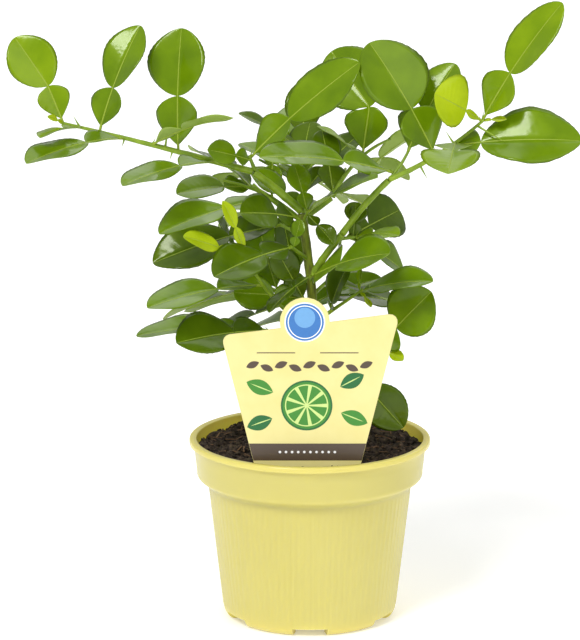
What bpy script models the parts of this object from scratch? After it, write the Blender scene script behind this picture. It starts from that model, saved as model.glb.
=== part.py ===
"""Potted kaffir lime tree, modelled with its pot, soil and plant label.

World units are metres, +Z is up. The origin is the centre of the pot's flat underside, and
the side that faces the viewer is -Y. Sizes below are in millimetres and angles in degrees.

Angles of the plant are a turn and a rise. The turn is a compass turn seen from above: 0 is
+X (right), 90 is +Y (away from the viewer), 180 is left and 270 is towards the viewer. The
rise is the angle above the horizon.
"""

import math

import bmesh
import bpy
import numpy as np
from mathutils import Vector
from mathutils.bvhtree import BVHTree

MM = 0.001
GAP = 0.3                      # clearance between pieces that touch

# Pot
POT_HEIGHT = 98.5
RIM_RADIUS = 65.0              # outside of the rolled lip
BAND_TOP_RADIUS = 62.9         # the wide band below the lip, at its top
BAND_FOOT_RADIUS = 61.0        # and at its foot
BAND_HEIGHT = 19.5             # lip and band together
STEP_HEIGHT = 6.5              # the band curls in to the body over this height
BODY_TOP_RADIUS = 54.7
BODY_FOOT_RADIUS = 46.4
FOOT_ROUND = 5.0               # radius of the rounded bottom edge
LIP_HEIGHT = 3.2
WALL = 1.8
FLOOR_TOP = 6.8                # inside floor of the pot
FLOOR_UNDER = 4.7              # its underside, raised inside the foot ring
BOSS_RADIUS = 12.0             # flat boss in the middle of the underside, level with the ring
POT_SIDES = 60
NOTCH_COUNT = 6                # drain slots through the foot ring
NOTCH_WIDTH = 19.0
NOTCH_HEIGHT = 4.4
NOTCH_DEPTH = 9.0              # the ring's width

# Soil
SOIL_EDGE = 93.2               # height of the soil at the pot wall
SOIL_MOUND = 3.2               # how much higher it lies at the trunk
SOIL_LUMP = 1.3                # height of its lumps
SOIL_SIDES = 36
SOIL_RINGS = 6
COLLAR_RADIUS = 7.0            # level spot that the trunk stands on

# Plant label
LABEL_Y = -48.0
LABEL_THICK = 0.9
LABEL_MIDDLE = -1.5            # x of its middle line
LABEL_FOOT_HALF = 28.5         # half width where it goes into the soil
LABEL_FOOT_Z = 98.0
LABEL_LEFT = (-46.5, 165.5)    # the two upper corners, x and z
LABEL_RIGHT = (46.5, 177.5)
LABEL_CORNER = 4.0
BUMP_CENTRE = (-3.0, 172.6)    # round head in the middle of the upper edge
BUMP_RADIUS = 13.0
STAKE_HALF = 24.0              # the stake below, pointed
STAKE_SHOULDER_Z = 86.0
STAKE_TIP_Z = 44.0
STAKE_TIP_HALF = 1.0

# Leaves: a kaffir lime leaf is a blade and a winged stalk nearly as wide, joined end to end.
STALK = 0.05                   # share of the length that is bare stalk
STALK_HALF = 0.65
JOINT_HALF = 0.75
LEAF_THICK = 0.016             # thickness at the midrib, as a share of the length
LEAF_FOLD = 11.0               # each half of the leaf rises this much from the midrib
LEAF_ARCH = -22.0              # turn of the midrib from base to tip
WING_STEPS = (0.0, 0.28, 0.62, 0.90)       # cuts across the wing and the blade of a solid leaf
BLADE_STEPS = (0.0, 0.10, 0.32, 0.62, 0.88, 1.0)

LIMB_SIDES = 8
STEM_SIDES = 5
THORN_HALF = 0.55
ROOT_FLARE = 1.3               # the trunk is this much wider at its foot
FLARE_HEIGHT = 4.0
ROOT_SINK = 1.5                # a leaf at a stem's tip starts this far back inside it
ROOT_PAST = 1.4                # and one at its foot this far out from the carrier

# The rule of the seeded masses
GOLDEN_ANGLE = 137.5           # from one leaf to the next, round the twig
NODE_SPACING = 12.0
TWIG_SIZES = (24.0, 34.0)
TWIG_FOOT = 1.0                # radius of a side twig at its foot and at its tip
TWIG_TIP = 0.7
LEAF_SIZES = (44.0, 62.0)

# A leaf that would touch something is turned aside: turn, rise and roll, tried in this order
NUDGES = [(turn, rise, roll) for roll in (0, 14, -14) for rise in (0, 5, -5, 10, -10)
          for turn in (0, 6, -6, 12, -12, 20, -20)]
TEST_THICK = 2.0               # the leaf is this many times thicker while it is tried

# Limbs: carrier, place along it, turn, rise, length, lift of the middle, sway of the middle,
# radius at the start and radius at the end.
TRUNK_FOOT = (2.0, 0.0)
LIMBS = {
    "trunk": (None, 0.0, 180, 87, 124.0, 3.5, 0.0, 3.1, 2.4),
    "bough_left": ("trunk", 1.0, 196, 40, 34.0, 0.5, 0.0, 2.35, 2.15),
    "bough_centre": ("trunk", 0.975, 28, 30, 20.0, 0.0, 0.0, 1.6, 1.5),
    "bough_right": ("trunk", 0.72, 337, 54, 31.0, 0.5, 0.0, 2.0, 1.9),
    "bough_right_upper": ("bough_right", 1.0, 342, 50, 39.0, 1.0, 0.0, 1.85, 1.7),
    "bough_back": ("trunk", 0.80, 95, 42, 34.0, 0.0, 0.0, 1.9, 1.6),
}


def leaf(along, turn, rise, length, roll=0, wide=0.66, swing=0, wing=0.40, wing_wide=0.68):
    """One leaf: its place along the stem, heading, length and roll about its midrib.

    wide is the blade's width by its length, swing the turn of the blade at the joint, wing the
    share of the leaf up to the joint, and wing_wide the wing's width by the blade's.
    """
    return along, turn, rise, length, roll, wide, swing, wing, wing_wide


# Masses: each is one stem, written as a limb is, with its leaves and thorns. A thorn is its
# place along the stem, turn, rise and length.
MASSES = {
    "foliage_left": {
        "stem": ("bough_left", 1.0, 190, 16, 105, 0.5, 0.0, 2.0, 0.8),
        "leaves": [
            leaf(0.19, 204, -4, 66, -10, 0.58),
            leaf(0.39, 82, 79, 65, -12, 0.92, 0, 0.45, 0.74),
            leaf(0.53, 327, 20, 55, -15, 0.58),
            leaf(0.67, 203, -5, 66, -10, 0.60),
            leaf(0.80, 36, 64, 60, 18, 0.70, 0, 0.40, 0.85),
            leaf(0.89, 236, -1, 35, 5, 0.75),
            leaf(0.99, 146, 61, 52, -42, 0.86, 10),
            leaf(1.00, 220, 24, 11, -60, 0.60),
        ],
        "thorns": [(0.46, 60, 72, 14), (0.42, 250, -50, 6), (0.67, 240, -60, 5), (0.90, 160, 55, 7)],
    },
    "foliage_upper_left": {
        "stem": ("bough_left", 0.93, 213, 65, 12, 0.0, 0.0, 1.2, 0.9),
        "leaves": [
            leaf(0.75, 218, 17, 30, -68, 0.80),
            leaf(0.95, 348, 42, 79, 60, 0.60),
        ],
        "thorns": [],
    },
    "foliage_top": {
        "stem": ("bough_centre", 1.0, 31, 38, 46, 5.0, 0.0, 1.4, 0.7),
        "leaves": [
            leaf(0.02, 92, 52, 40, 0, 0.80, 0, 0.46, 0.90),
            leaf(0.57, 156, 31, 30, 5, 0.50),
            leaf(0.60, 62, 68, 66, 10, 0.92, 44),
        ],
        "thorns": [],
    },
    "foliage_top_back": {
        "stem": ("trunk", 0.92, 95, 60, 48, -3.0, 0.0, 1.3, 0.7),
        "leaves": [
            leaf(0.65, 100, 49, 38, -10, 0.90),
            leaf(0.25, 158, 34, 36, -20, 0.86),
            leaf(1.00, 197, 32, 41, -20, 0.50),
        ],
        "thorns": [],
    },
    "foliage_right": {
        "stem": ("bough_right_upper", 1.0, 347, 34, 60, -2.5, 0.0, 1.6, 0.8),
        "leaves": [
            leaf(0.46, 157, 57, 69, -38, 1.00),
            leaf(0.62, 350, 4, 74, 45, 0.68, 0, 0.24, 0.50),
            leaf(0.68, 262, -12, 44, 0, 1.20),
            leaf(0.99, 207, 30, 33, -70, 1.50, 0, 0.38, 0.16),
            leaf(1.00, 352, 57, 75, 55, 0.58, 0, 0.40, 0.85),
            leaf(0.99, 352, 6, 13, 30, 0.60),
        ],
        "thorns": [(0.92, 335, -28, 18), (0.66, 150, 50, 8), (0.30, 310, -50, 9)],
    },
    "foliage_right_upper": {
        "stem": ("bough_right_upper", 0.97, 26, 54, 26, -1.5, 0.0, 1.1, 0.7),
        "leaves": [
            leaf(0.24, 196, 10, 78, -25, 0.62),
            leaf(0.72, 15, 58, 54, 30, 0.84, 0, 0.44, 1.05),
        ],
        "thorns": [],
    },
    "foliage_inner_left": {
        "stem": ("trunk", 0.965, 206, 38, 37, -1.0, 0.0, 1.1, 0.7),
        "leaves": [
            leaf(0.13, 226, 11, 43, -55, 0.86),
            leaf(0.65, 215, -11, 67, -15, 0.70),
        ],
        "thorns": [],
    },
    "foliage_back_left_high": {
        "stem": ("trunk", 0.90, 160, 22, 16, 0.0, 0.0, 1.2, 0.9),
        "leaves": [
            leaf(0.97, 189, -15, 72, -35, 0.72),
        ],
        "thorns": [],
    },
    "foliage_centre_left": {
        "stem": ("trunk", 0.80, 235, 31, 19, 0.0, 0.0, 1.2, 0.8),
        "leaves": [
            leaf(0.95, 216, -6, 61, -30, 0.72),
            leaf(0.84, 48, 73, 16, 40, 0.90),
        ],
        "thorns": [],
    },
    "foliage_fork": {
        "stem": ("trunk", 0.96, 293, 50, 10, 0.0, 0.0, 1.1, 0.9),
        "leaves": [
            leaf(1.00, 338, 27, 55, 20, 0.62),
            leaf(0.74, 325, -39, 23, 35, 0.80),
            leaf(0.95, 120, 60, 28, -10, 0.85),
            leaf(0.94, 60, 16, 16, 20, 0.90),
        ],
        "thorns": [],
    },
    "foliage_young_shoot": {
        "stem": ("trunk", 0.50, 220, 45, 68, -6.0, 0.0, 1.3, 0.7),
        "leaves": [
            leaf(0.66, 206, -5, 67, -15, 0.68),
            leaf(0.90, 210, 29, 43, -50, 0.60, 0, 0.50, 0.55),
            leaf(1.00, 214, 67, 31, -75, 0.50, 0, 0.50, 0.80),
        ],
        "thorns": [(0.93, 30, 50, 6)],
    },
    "foliage_low_left": {
        "stem": ("trunk", 0.44, 212, 17, 35, 0.0, 0.0, 1.3, 0.9),
        "leaves": [
            leaf(1.00, 183, -2, 68, -15, 0.60),
            leaf(0.85, 207, -4, 58, -35, 0.86),
        ],
        "thorns": [],
    },
    "foliage_low_centre": {
        "stem": ("trunk", 0.60, 195, 30, 10, 0.0, 0.0, 1.2, 0.9),
        "leaves": [
            leaf(0.55, 189, 62, 33, -88, 0.85),
            leaf(0.78, 174, 5, 36, -60, 0.95),
        ],
        "thorns": [],
    },
    "foliage_front": {
        "stem": ("trunk", 0.70, 277, 35, 11, 0.0, 0.0, 1.1, 0.9),
        "leaves": [
            leaf(0.71, 320, 20, 61, 35, 0.80, 0, 0.40, 1.10),
            leaf(0.82, 232, -20, 40, 5, 0.52),
        ],
        "thorns": [],
    },
    "foliage_mid_right": {
        "stem": ("bough_right", 0.88, 10, 5, 11, 0.0, 0.0, 1.1, 0.9),
        "leaves": [
            leaf(0.15, 33, 13, 43, 58, 1.05, 0, 0.40, 1.00),
            leaf(0.98, 312, 10, 34, 20, 0.72),
            leaf(0.72, 79, 50, 20, 10, 1.10),
            leaf(0.55, 33, -32, 42, 45, 0.86),
        ],
        "thorns": [(0.95, 320, -30, 8)],
    },
    "foliage_low_right": {
        "stem": ("trunk", 0.52, 333, 36, 35, 0.0, 0.0, 1.3, 0.7),
        "leaves": [
            leaf(1.00, 333, 13, 44, 25, 0.60, 0, 0.14, 0.40),
            leaf(0.34, 8, 58, 31, 35, 0.88, 0, 0.16, 0.50),
            leaf(1.00, 54, 85, 13, -10, 0.55),
            leaf(0.96, 307, -34, 12, 5, 0.55),
        ],
        "thorns": [],
    },
    "foliage_foot_right": {
        "stem": ("trunk", 0.33, 347, 17, 40, 0.0, 0.0, 1.2, 0.8),
        "leaves": [
            leaf(0.86, 338, 48, 47, 82, 1.10),
            leaf(0.99, 318, -16, 15, 35, 0.80),
            leaf(0.96, 173, -87, 46, -45, 0.92),
        ],
        "thorns": [],
    },
}

# Seeded masses behind and between: stem, places of its side twigs, seed, and the ellipsoid it
# keeps to, as centre and half sizes.
GROWN = {
    "foliage_back": {
        "stem": ("bough_back", 1.0, 92, 14, 58, 3.0, 0.0, 1.4, 0.8),
        "twigs": (0.35, 0.65), "seed": 3, "space": ((-4, 76, 226), (74, 76, 60)),
    },
    "foliage_back_left": {
        "stem": ("bough_back", 0.70, 150, 26, 46, 2.0, 0.0, 1.3, 0.8),
        "twigs": (0.55,), "seed": 5, "space": ((-46, 48, 222), (60, 56, 56)),
    },
    "foliage_back_right": {
        "stem": ("bough_back", 0.90, 35, 20, 44, 2.0, 0.0, 1.3, 0.8),
        "twigs": (0.55,), "seed": 8, "space": ((42, 50, 226), (52, 58, 58)),
    },
    "foliage_back_low": {
        "stem": ("trunk", 0.42, 98, 20, 44, 2.0, 0.0, 1.3, 0.8),
        "twigs": (0.50, 0.80), "seed": 12, "space": ((-2, 56, 168), (70, 72, 48)),
    },
    "foliage_back_low_left": {
        "stem": ("trunk", 0.56, 150, 22, 34, 1.0, 0.0, 1.2, 0.8),
        "twigs": (0.60,), "seed": 15, "space": ((-46, 36, 182), (64, 54, 46)),
    },
    "foliage_back_low_right": {
        "stem": ("trunk", 0.64, 40, 26, 32, 1.0, 0.0, 1.2, 0.8),
        "twigs": (0.60,), "seed": 21, "space": ((42, 38, 188), (54, 56, 48)),
    },
}


# Small vector helpers, in millimetres and degrees

def heading(turn, rise):
    """Unit vector of a turn and a rise."""
    a = math.radians(turn)
    b = math.radians(rise)
    return np.array([math.cos(b) * math.cos(a), math.cos(b) * math.sin(a), math.sin(b)])


def sideways(turn):
    """Level unit vector to the left of a turn."""
    a = math.radians(turn)
    return np.array([-math.sin(a), math.cos(a), 0.0])


def limb_path(start, turn, rise, length, lift, sway, steps):
    """Points of a limb: a straight reach bowed by a parabola, upwards and to its left."""
    t = np.linspace(0.0, 1.0, steps + 1)[:, None]
    forward = heading(turn, rise)
    left = sideways(turn)
    bow = 4.0 * t * (1.0 - t)
    return start + length * t * forward + bow * (lift * np.cross(forward, left) + sway * left)


def path_point(path, along):
    """Point and direction at a share of a path's length."""
    place = along * (len(path) - 1)
    i = min(int(place), len(path) - 2)
    step = path[i + 1] - path[i]
    return path[i] + step * (place - i), step / np.linalg.norm(step)


# The leaf

def half_width(s, length, wide, wing, wing_wide):
    """Half the width of the leaf at a share s of its length: stalk, wing, joint and blade."""
    blade = 0.5 * wide * length * (1.0 - wing)
    t_wing = np.clip((s - STALK) / (wing - STALK), 0.0, 1.0)
    t_blade = np.clip((s - wing) / (1.0 - wing), 0.0, 1.0)
    near = wing_wide * blade * np.sin(math.pi * t_wing ** 1.5) ** 0.62
    far = blade * np.abs(np.sin(math.pi * t_blade ** 0.95)) ** 0.58
    least = np.where(s < wing - 0.01, STALK_HALF, JOINT_HALF) * min(1.0, length / 30.0)
    least = least * (s < 0.7)
    return np.maximum(np.where(s <= wing, near, far), least)


def leaf_shares(wing, wing_steps, blade_steps):
    """Shares of the length where a leaf is cut across: the stalk, the wing, the blade."""
    wing_part = STALK + (wing - STALK) * np.array(wing_steps)
    blade_part = wing + (1.0 - wing) * np.array(blade_steps)
    return np.concatenate([[0.0], wing_part, blade_part])


def leaf_surface(base, row, s, v):
    """Middle surface of a leaf: points at shares s of its length and v across, and its normal.

    The midrib turns evenly by LEAF_ARCH from base to tip, the two halves rise from it by
    LEAF_FOLD, and the blade turns at the joint.
    """
    turn, rise, length, roll, wide, swing, wing, wing_wide = row
    forward = heading(turn, rise)
    left = sideways(turn)
    upward = np.cross(forward, left)
    c = math.cos(math.radians(roll))
    k = math.sin(math.radians(roll))
    left, upward = left * c + upward * k, upward * c - left * k
    fine = np.linspace(0.0, 1.0, 101)
    pitch = np.radians(LEAF_ARCH) * (fine - 0.5)
    yaw = np.radians(swing) * np.clip((fine - wing + 0.04) / 0.08, 0.0, 1.0)
    steps = np.stack([np.cos(pitch) * np.cos(yaw), np.cos(pitch) * np.sin(yaw), np.sin(pitch)], 1)
    middle = np.concatenate([np.zeros((1, 3)), np.cumsum(0.5 * (steps[1:] + steps[:-1]), 0) * 0.01])
    rib = np.stack([np.interp(s, fine, middle[:, i]) for i in range(3)], 1) * length
    yaw = np.interp(s, fine, yaw)
    pitch = np.interp(s, fine, pitch)
    across = np.stack([-np.sin(yaw), np.cos(yaw), np.zeros_like(yaw)], 1)
    normal = np.stack([-np.sin(pitch) * np.cos(yaw), -np.sin(pitch) * np.sin(yaw), np.cos(pitch)], 1)
    w = half_width(s, length, wide, wing, wing_wide)
    fold = math.radians(LEAF_FOLD)
    flat = (w[:, None] * v[None, :] * math.cos(fold))[:, :, None] * across[:, None, :]
    lift = (w[:, None] * np.abs(v)[None, :] * math.sin(fold))[:, :, None] * normal[:, None, :]
    local = rib[:, None, :] + flat + lift
    axes = np.stack([forward, left, upward])
    return base + local @ axes, normal @ axes


def leaf_mesh(base, row, swell=1.0):
    """Closed thin leaf: sharp at its edges, thickest at the midrib, pointed at its tip."""
    s = leaf_shares(row[6], WING_STEPS, BLADE_STEPS)
    points, normal = leaf_surface(base, row, s, np.array([-1.0, 0.0, 1.0]))
    body = np.maximum(np.full_like(s, 0.5 * LEAF_THICK * row[2]), 0.45 * (s <= STALK)) * swell
    over = points[:, 1] + normal * body[:, None]
    under = points[:, 1] - normal * body[:, None]
    verts = []
    faces = []
    last = len(s) - 1
    for i in range(last):
        verts += [points[i, 0], over[i], points[i, 2], under[i]]
    verts.append(points[last, 1])
    for i in range(last - 1):
        a = 4 * i
        for j in range(4):
            k = (j + 1) % 4
            faces.append((a + j, a + k, a + 4 + k))
            faces.append((a + j, a + 4 + k, a + 4 + j))
    a = 4 * (last - 1)
    for j in range(4):
        faces.append((a + j, a + (j + 1) % 4, a + 4))
    faces.append((0, 3, 2, 1))
    return np.array(verts), faces


# Round limbs, stems and thorns

def tube_mesh(path, radii, sides, clear=None):
    """Closed tapering tube along a path.

    clear is (point, direction, radius) of a round carrier that the tube starts on: the first
    ring is slid along the tube until it lies on that cylinder, so the foot fits the carrier.
    """
    tangents = np.gradient(path, axis=0)
    tangents /= np.linalg.norm(tangents, axis=1)[:, None]
    helper = np.array([0.0, 0.0, 1.0]) if abs(tangents[0][2]) < 0.9 else np.array([1.0, 0.0, 0.0])
    verts = []
    angle = np.linspace(0.0, 2.0 * math.pi, sides, endpoint=False)
    for point, tangent, radius in zip(path, tangents, radii):
        x = np.cross(helper, tangent)
        x /= np.linalg.norm(x)
        y = np.cross(tangent, x)
        helper = np.cross(tangent, x)
        helper = helper if abs(helper @ tangent) < 0.9 else x
        verts += [point + radius * (math.cos(a) * x + math.sin(a) * y) for a in angle]
    foot = path[0]
    if clear:
        place, axis, radius = clear
        line = tangents[0]
        slide = []
        for p in verts[:sides] + [foot]:
            q = p - place
            q = q - axis * (q @ axis)
            e = line - axis * (line @ axis)
            a, b, c = e @ e, q @ e, q @ q - radius * radius
            slide.append((-b + math.sqrt(max(b * b - a * c, 0.0))) / a)
        for j in range(sides):
            verts[j] = verts[j] + line * slide[j]
        foot = foot + line * slide[-1]
    rings = len(path)
    faces = []
    for i in range(rings - 1):
        for j in range(sides):
            k = (j + 1) % sides
            a, b = i * sides, (i + 1) * sides
            faces.append((a + j, a + k, b + k, b + j))
    verts += [foot, path[-1]]
    low, high = rings * sides, rings * sides + 1
    for j in range(sides):
        k = (j + 1) % sides
        faces.append((low, k, j))
        faces.append((high, (rings - 1) * sides + j, (rings - 1) * sides + k))
    return np.array(verts), faces


def thorn_mesh(base, turn, rise, length):
    """Straight three-sided thorn."""
    forward = heading(turn, rise)
    left = sideways(turn)
    upward = np.cross(forward, left)
    verts = []
    for j in range(3):
        a = math.radians(120 * j)
        verts.append(base + THORN_HALF * (math.cos(a) * left + math.sin(a) * upward))
    verts.append(base + forward * length)
    return np.array(verts), [(0, 1, 3), (1, 2, 3), (2, 0, 3), (0, 2, 1)]


# The plan of the plant: every path, worked out from the table above

def limb_radius(limb, along):
    """Radius of a limb or stem at a share of its length."""
    return limb[7] + (limb[8] - limb[7]) * along


def plan_limbs():
    """Path of each limb and stem, with the round carrier that its foot must clear."""
    stems = dict(LIMBS)
    stems.update({name: mass["stem"] for name, mass in {**MASSES, **GROWN}.items()})
    paths = {}
    clears = {}
    for name, stem in stems.items():
        carrier, along, turn, rise, length, lift, sway, start_radius, _ = stem
        steps = max(1, round(length / 9.0))
        if carrier is None:
            foot = np.array([TRUNK_FOOT[0], TRUNK_FOOT[1], SOIL_EDGE + SOIL_MOUND + GAP])
            paths[name] = limb_path(foot, turn, rise, length, lift, sway, steps)
            clears[name] = None
            continue
        point, direction = path_point(paths[carrier], along)
        path = limb_path(point, turn, rise, length, lift, sway, steps)
        clears[name] = (point, direction, limb_radius(stems[carrier], along) + GAP)
        if along == 1.0:
            _, forward = path_point(path, 0.0)
            tilt = math.acos(min(1.0, direction @ forward))
            path = path + direction * (GAP + start_radius * math.sin(tilt))
            clears[name] = None
        paths[name] = path
    return paths, clears


# The seeded masses that fill the crown behind: one rule for all of them

def bearing(direction):
    """Turn and rise of a direction."""
    x, y, z = direction / np.linalg.norm(direction)
    return math.degrees(math.atan2(y, x)), math.degrees(math.asin(z))


def spray_rows(path, first, spacing, spread, phase, rng, sizes):
    """Leaf rows along one twig, each a golden angle further round it than the last."""
    length = np.linalg.norm(path[-1] - path[0])
    rows = []
    count = max(1, int((length - first) / spacing) + 1)
    for i in range(count):
        along = min(1.0, (first + i * spacing) / length)
        _, forward = path_point(path, along)
        side = np.cross(forward, [0.0, 0.0, 1.0])
        side /= np.linalg.norm(side)
        over = np.cross(side, forward)
        a = math.radians(phase + GOLDEN_ANGLE * i)
        out = math.cos(a) * side + math.sin(a) * over
        lean = math.radians(spread if along < 1.0 else 12.0)
        turn, rise = bearing(math.cos(lean) * forward + math.sin(lean) * out + [0.0, 0.0, 0.12])
        size = rng.uniform(*sizes)
        rows.append(leaf(along, turn, rise, size, rng.uniform(-28, 28), rng.uniform(0.62, 0.86)))
    return rows


def grow_mass(mass, path):
    """Side twigs of a seeded mass, and the leaf rows of its stem and of each twig."""
    rng = np.random.default_rng(mass["seed"])
    phase = rng.uniform(0, 360)
    twigs = []
    sprays = [(path, spray_rows(path, NODE_SPACING, NODE_SPACING, 58, phase, rng, LEAF_SIZES))]
    for i, along in enumerate(mass["twigs"]):
        point, forward = path_point(path, along)
        side = np.cross(forward, [0.0, 0.0, 1.0]) * (1 if i % 2 else -1)
        turn, rise = bearing(forward + side * rng.uniform(0.9, 1.2) + [0.0, 0.0, rng.uniform(0.0, 0.35)])
        length = rng.uniform(*TWIG_SIZES)
        twig = limb_path(point, turn, rise, length, 1.0, 0.0, 3)
        twigs.append(twig)
        sprays.append((twig, spray_rows(twig, 11, NODE_SPACING, 52, rng.uniform(0, 360), rng, LEAF_SIZES)))
    return twigs, sprays


# Keeping leaves clear of everything that stands before them

def bvh(verts, faces):
    """Search tree of a mesh with its box."""
    tree = BVHTree.FromPolygons([Vector(v) for v in verts], faces)
    return tree, verts.min(0), verts.max(0)


def touches(body, others):
    """Whether a mesh crosses any of the others."""
    tree, low, high = body
    for other, other_low, other_high in others:
        if np.all(low <= other_high) and np.all(high >= other_low) and tree.overlap(other):
            return True
    return False


def inside(verts, space):
    """Whether all points lie in an ellipsoid, given as its centre and its three half sizes."""
    centre, half = np.array(space[0]), np.array(space[1])
    return bool(np.all((((verts - centre) / half) ** 2).sum(1) <= 1.0))


def settle(base, row, own, others, space=None):
    """The leaf row, turned aside by the first nudge that leaves it clear, or None.

    A thicker leaf stands in for it, so a clearance stays. Its stalk may meet its own stem, so
    only the part beyond the stalk is held against its own mass.
    """
    for turn, rise, roll in NUDGES:
        moved = (row[0] + turn, row[1] + rise, row[2], row[3] + roll) + tuple(row[4:])
        verts, faces = leaf_mesh(base, moved, TEST_THICK)
        if space and not inside(verts, space):
            continue
        if touches(bvh(verts, faces), others):
            continue
        beyond = [face for face in faces if min(face) >= 8]
        if not touches(bvh(verts, beyond), own):
            return moved
    return None


def seat(path, along, clear=None):
    """Point of a stem's middle line that a leaf starts from.

    It is sunk back from the stem's tip, and lies past the round carrier that the stem stands on.
    """
    length = np.linalg.norm(path[-1] - path[0])
    least = 0.0
    if clear:
        _, axis, radius = clear
        _, forward = path_point(path, 0.0)
        least = radius / math.sqrt(1.0 - (axis @ forward) ** 2) + ROOT_PAST
    return path_point(path, min(max(along, least / length), 1.0 - ROOT_SINK / length))[0]


def limb_body(name, stem, path, clear):
    """Closed mesh of a limb or stem. The trunk flares at its foot, which is cut level."""
    sides = LIMB_SIDES if name in LIMBS else STEM_SIDES
    radii = np.linspace(stem[7], stem[8], len(path))
    if name != "trunk":
        return tube_mesh(path, radii, sides, clear)
    radii = radii + ROOT_FLARE * np.exp(-(path[:, 2] - path[0, 2]) / FLARE_HEIGHT)
    verts, faces = tube_mesh(path, radii, sides)
    verts[list(range(sides)) + [len(verts) - 2], 2] = path[0, 2]
    return verts, faces


def plan_plant(fixed):
    """Where everything grows: the paths, their carriers, and per mass its twigs and leaves.

    fixed holds the search trees of the pot, the soil and the label. A leaf in the plan is its
    place in the table, the point it starts from and its settled row.
    """
    paths, clears = plan_limbs()
    masses = {**MASSES, **GROWN}
    stands = {}
    for name, path in paths.items():
        stem = LIMBS[name] if name in LIMBS else masses[name]["stem"]
        stands[name] = [bvh(*limb_body(name, stem, path, clears[name]))]
    plan = {}
    sprays = {name: [(paths[name], mass["leaves"])] for name, mass in MASSES.items()}
    for name, mass in GROWN.items():
        twigs, sprays[name] = grow_mass(mass, paths[name])
        plan[name] = {"twigs": [], "leaves": []}
        for twig in twigs:
            body = bvh(*tube_mesh(twig, np.linspace(TWIG_FOOT, TWIG_TIP, len(twig)), STEM_SIDES))
            if touches(body, fixed + [t for other in stands if other != name for t in stands[other]]):
                sprays[name] = [spray for spray in sprays[name] if spray[0] is not twig]
                continue
            plan[name]["twigs"].append(twig)
            stands[name].append(body)
    for name in masses:
        plan.setdefault(name, {"twigs": [], "leaves": []})
        space = GROWN[name]["space"] if name in GROWN else None
        rows = [(path, row) for path, spray in sprays[name] for row in spray]
        for i, (path, (along, *row)) in enumerate(rows):
            base = seat(path, along, clears[name] if path is paths[name] else None)
            others = fixed + [t for other in stands if other != name for t in stands[other]]
            moved = settle(base, row, stands[name], others, space)
            if moved is None:
                print("no room for leaf", i, "of", name)
                continue
            plan[name]["leaves"].append((i, base, moved))
            stands[name].append(bvh(*leaf_mesh(base, moved)))
    return paths, clears, plan


# Blender objects

def new_object(name, mesh, collection):
    obj = bpy.data.objects.new(name, mesh)
    collection.objects.link(obj)
    return obj


def mesh_object(name, verts, faces, collection):
    """Object of a mesh given in millimetres."""
    mesh = bpy.data.meshes.new(name)
    mesh.from_pydata([tuple(v) for v in np.asarray(verts) * MM], [], [tuple(f) for f in faces])
    mesh.update()
    return new_object(name, mesh, collection)


def finish(obj, colour, roughness):
    """Own Principled material from an sRGB hex colour."""
    channels = [int(colour[i:i + 2], 16) / 255 for i in (0, 2, 4)]
    linear = [c / 12.92 if c <= 0.04045 else ((c + 0.055) / 1.055) ** 2.4 for c in channels]
    material = bpy.data.materials.new(obj.name)
    material.use_nodes = True
    shader = material.node_tree.nodes["Principled BSDF"]
    shader.inputs["Base Color"].default_value = (*linear, 1.0)
    shader.inputs["Roughness"].default_value = roughness
    obj.data.materials.clear()
    obj.data.materials.append(material)


def turned(name, profile, sides, collection):
    """Turned shape: a profile of radius and height, in millimetres, carried round the axis."""
    mesh = bpy.data.meshes.new(name)
    points = [(r * MM, 0.0, z * MM) for r, z in profile]
    mesh.from_pydata(points, [(i, i + 1) for i in range(len(points) - 1)], [])
    obj = new_object(name, mesh, collection)
    screw = obj.modifiers.new("Turn", "SCREW")
    screw.steps = sides
    screw.render_steps = sides
    screw.use_merge_vertices = True
    screw.merge_threshold = 0.00001
    return obj


def arc(cx, cz, radius, start, end, steps):
    """Points of an arc, from one angle to another in degrees."""
    angles = [math.radians(start + (end - start) * i / steps) for i in range(steps + 1)]
    return [(cx + radius * math.cos(a), cz + radius * math.sin(a)) for a in angles]


def applied(obj, collection):
    """The object's evaluated mesh as a new object of the same name; the old one is removed."""
    mesh = bpy.data.meshes.new_from_object(obj.evaluated_get(bpy.context.evaluated_depsgraph_get()))
    mesh.transform(obj.matrix_world)
    name = obj.name
    bpy.data.objects.remove(obj)
    mesh.name = name
    return new_object(name, mesh, collection)


def boolean(obj, kind, collection, solver="EXACT"):
    """Boolean with every object of a collection."""
    modifier = obj.modifiers.new(kind.title(), "BOOLEAN")
    modifier.operation = kind
    modifier.operand_type = "COLLECTION"
    modifier.collection = collection
    modifier.solver = solver


def hide(obj):
    obj.hide_render = True
    obj.display_type = "WIRE"


# Pot

def wall_radius(z):
    """Outside radius of the pot below its lip, at a height."""
    band_foot = POT_HEIGHT - BAND_HEIGHT
    body_top = band_foot - STEP_HEIGHT
    heights = [0.0, body_top, band_foot, POT_HEIGHT]
    return float(np.interp(z, heights, [BODY_FOOT_RADIUS, BODY_TOP_RADIUS, BAND_FOOT_RADIUS, BAND_TOP_RADIUS]))


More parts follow.
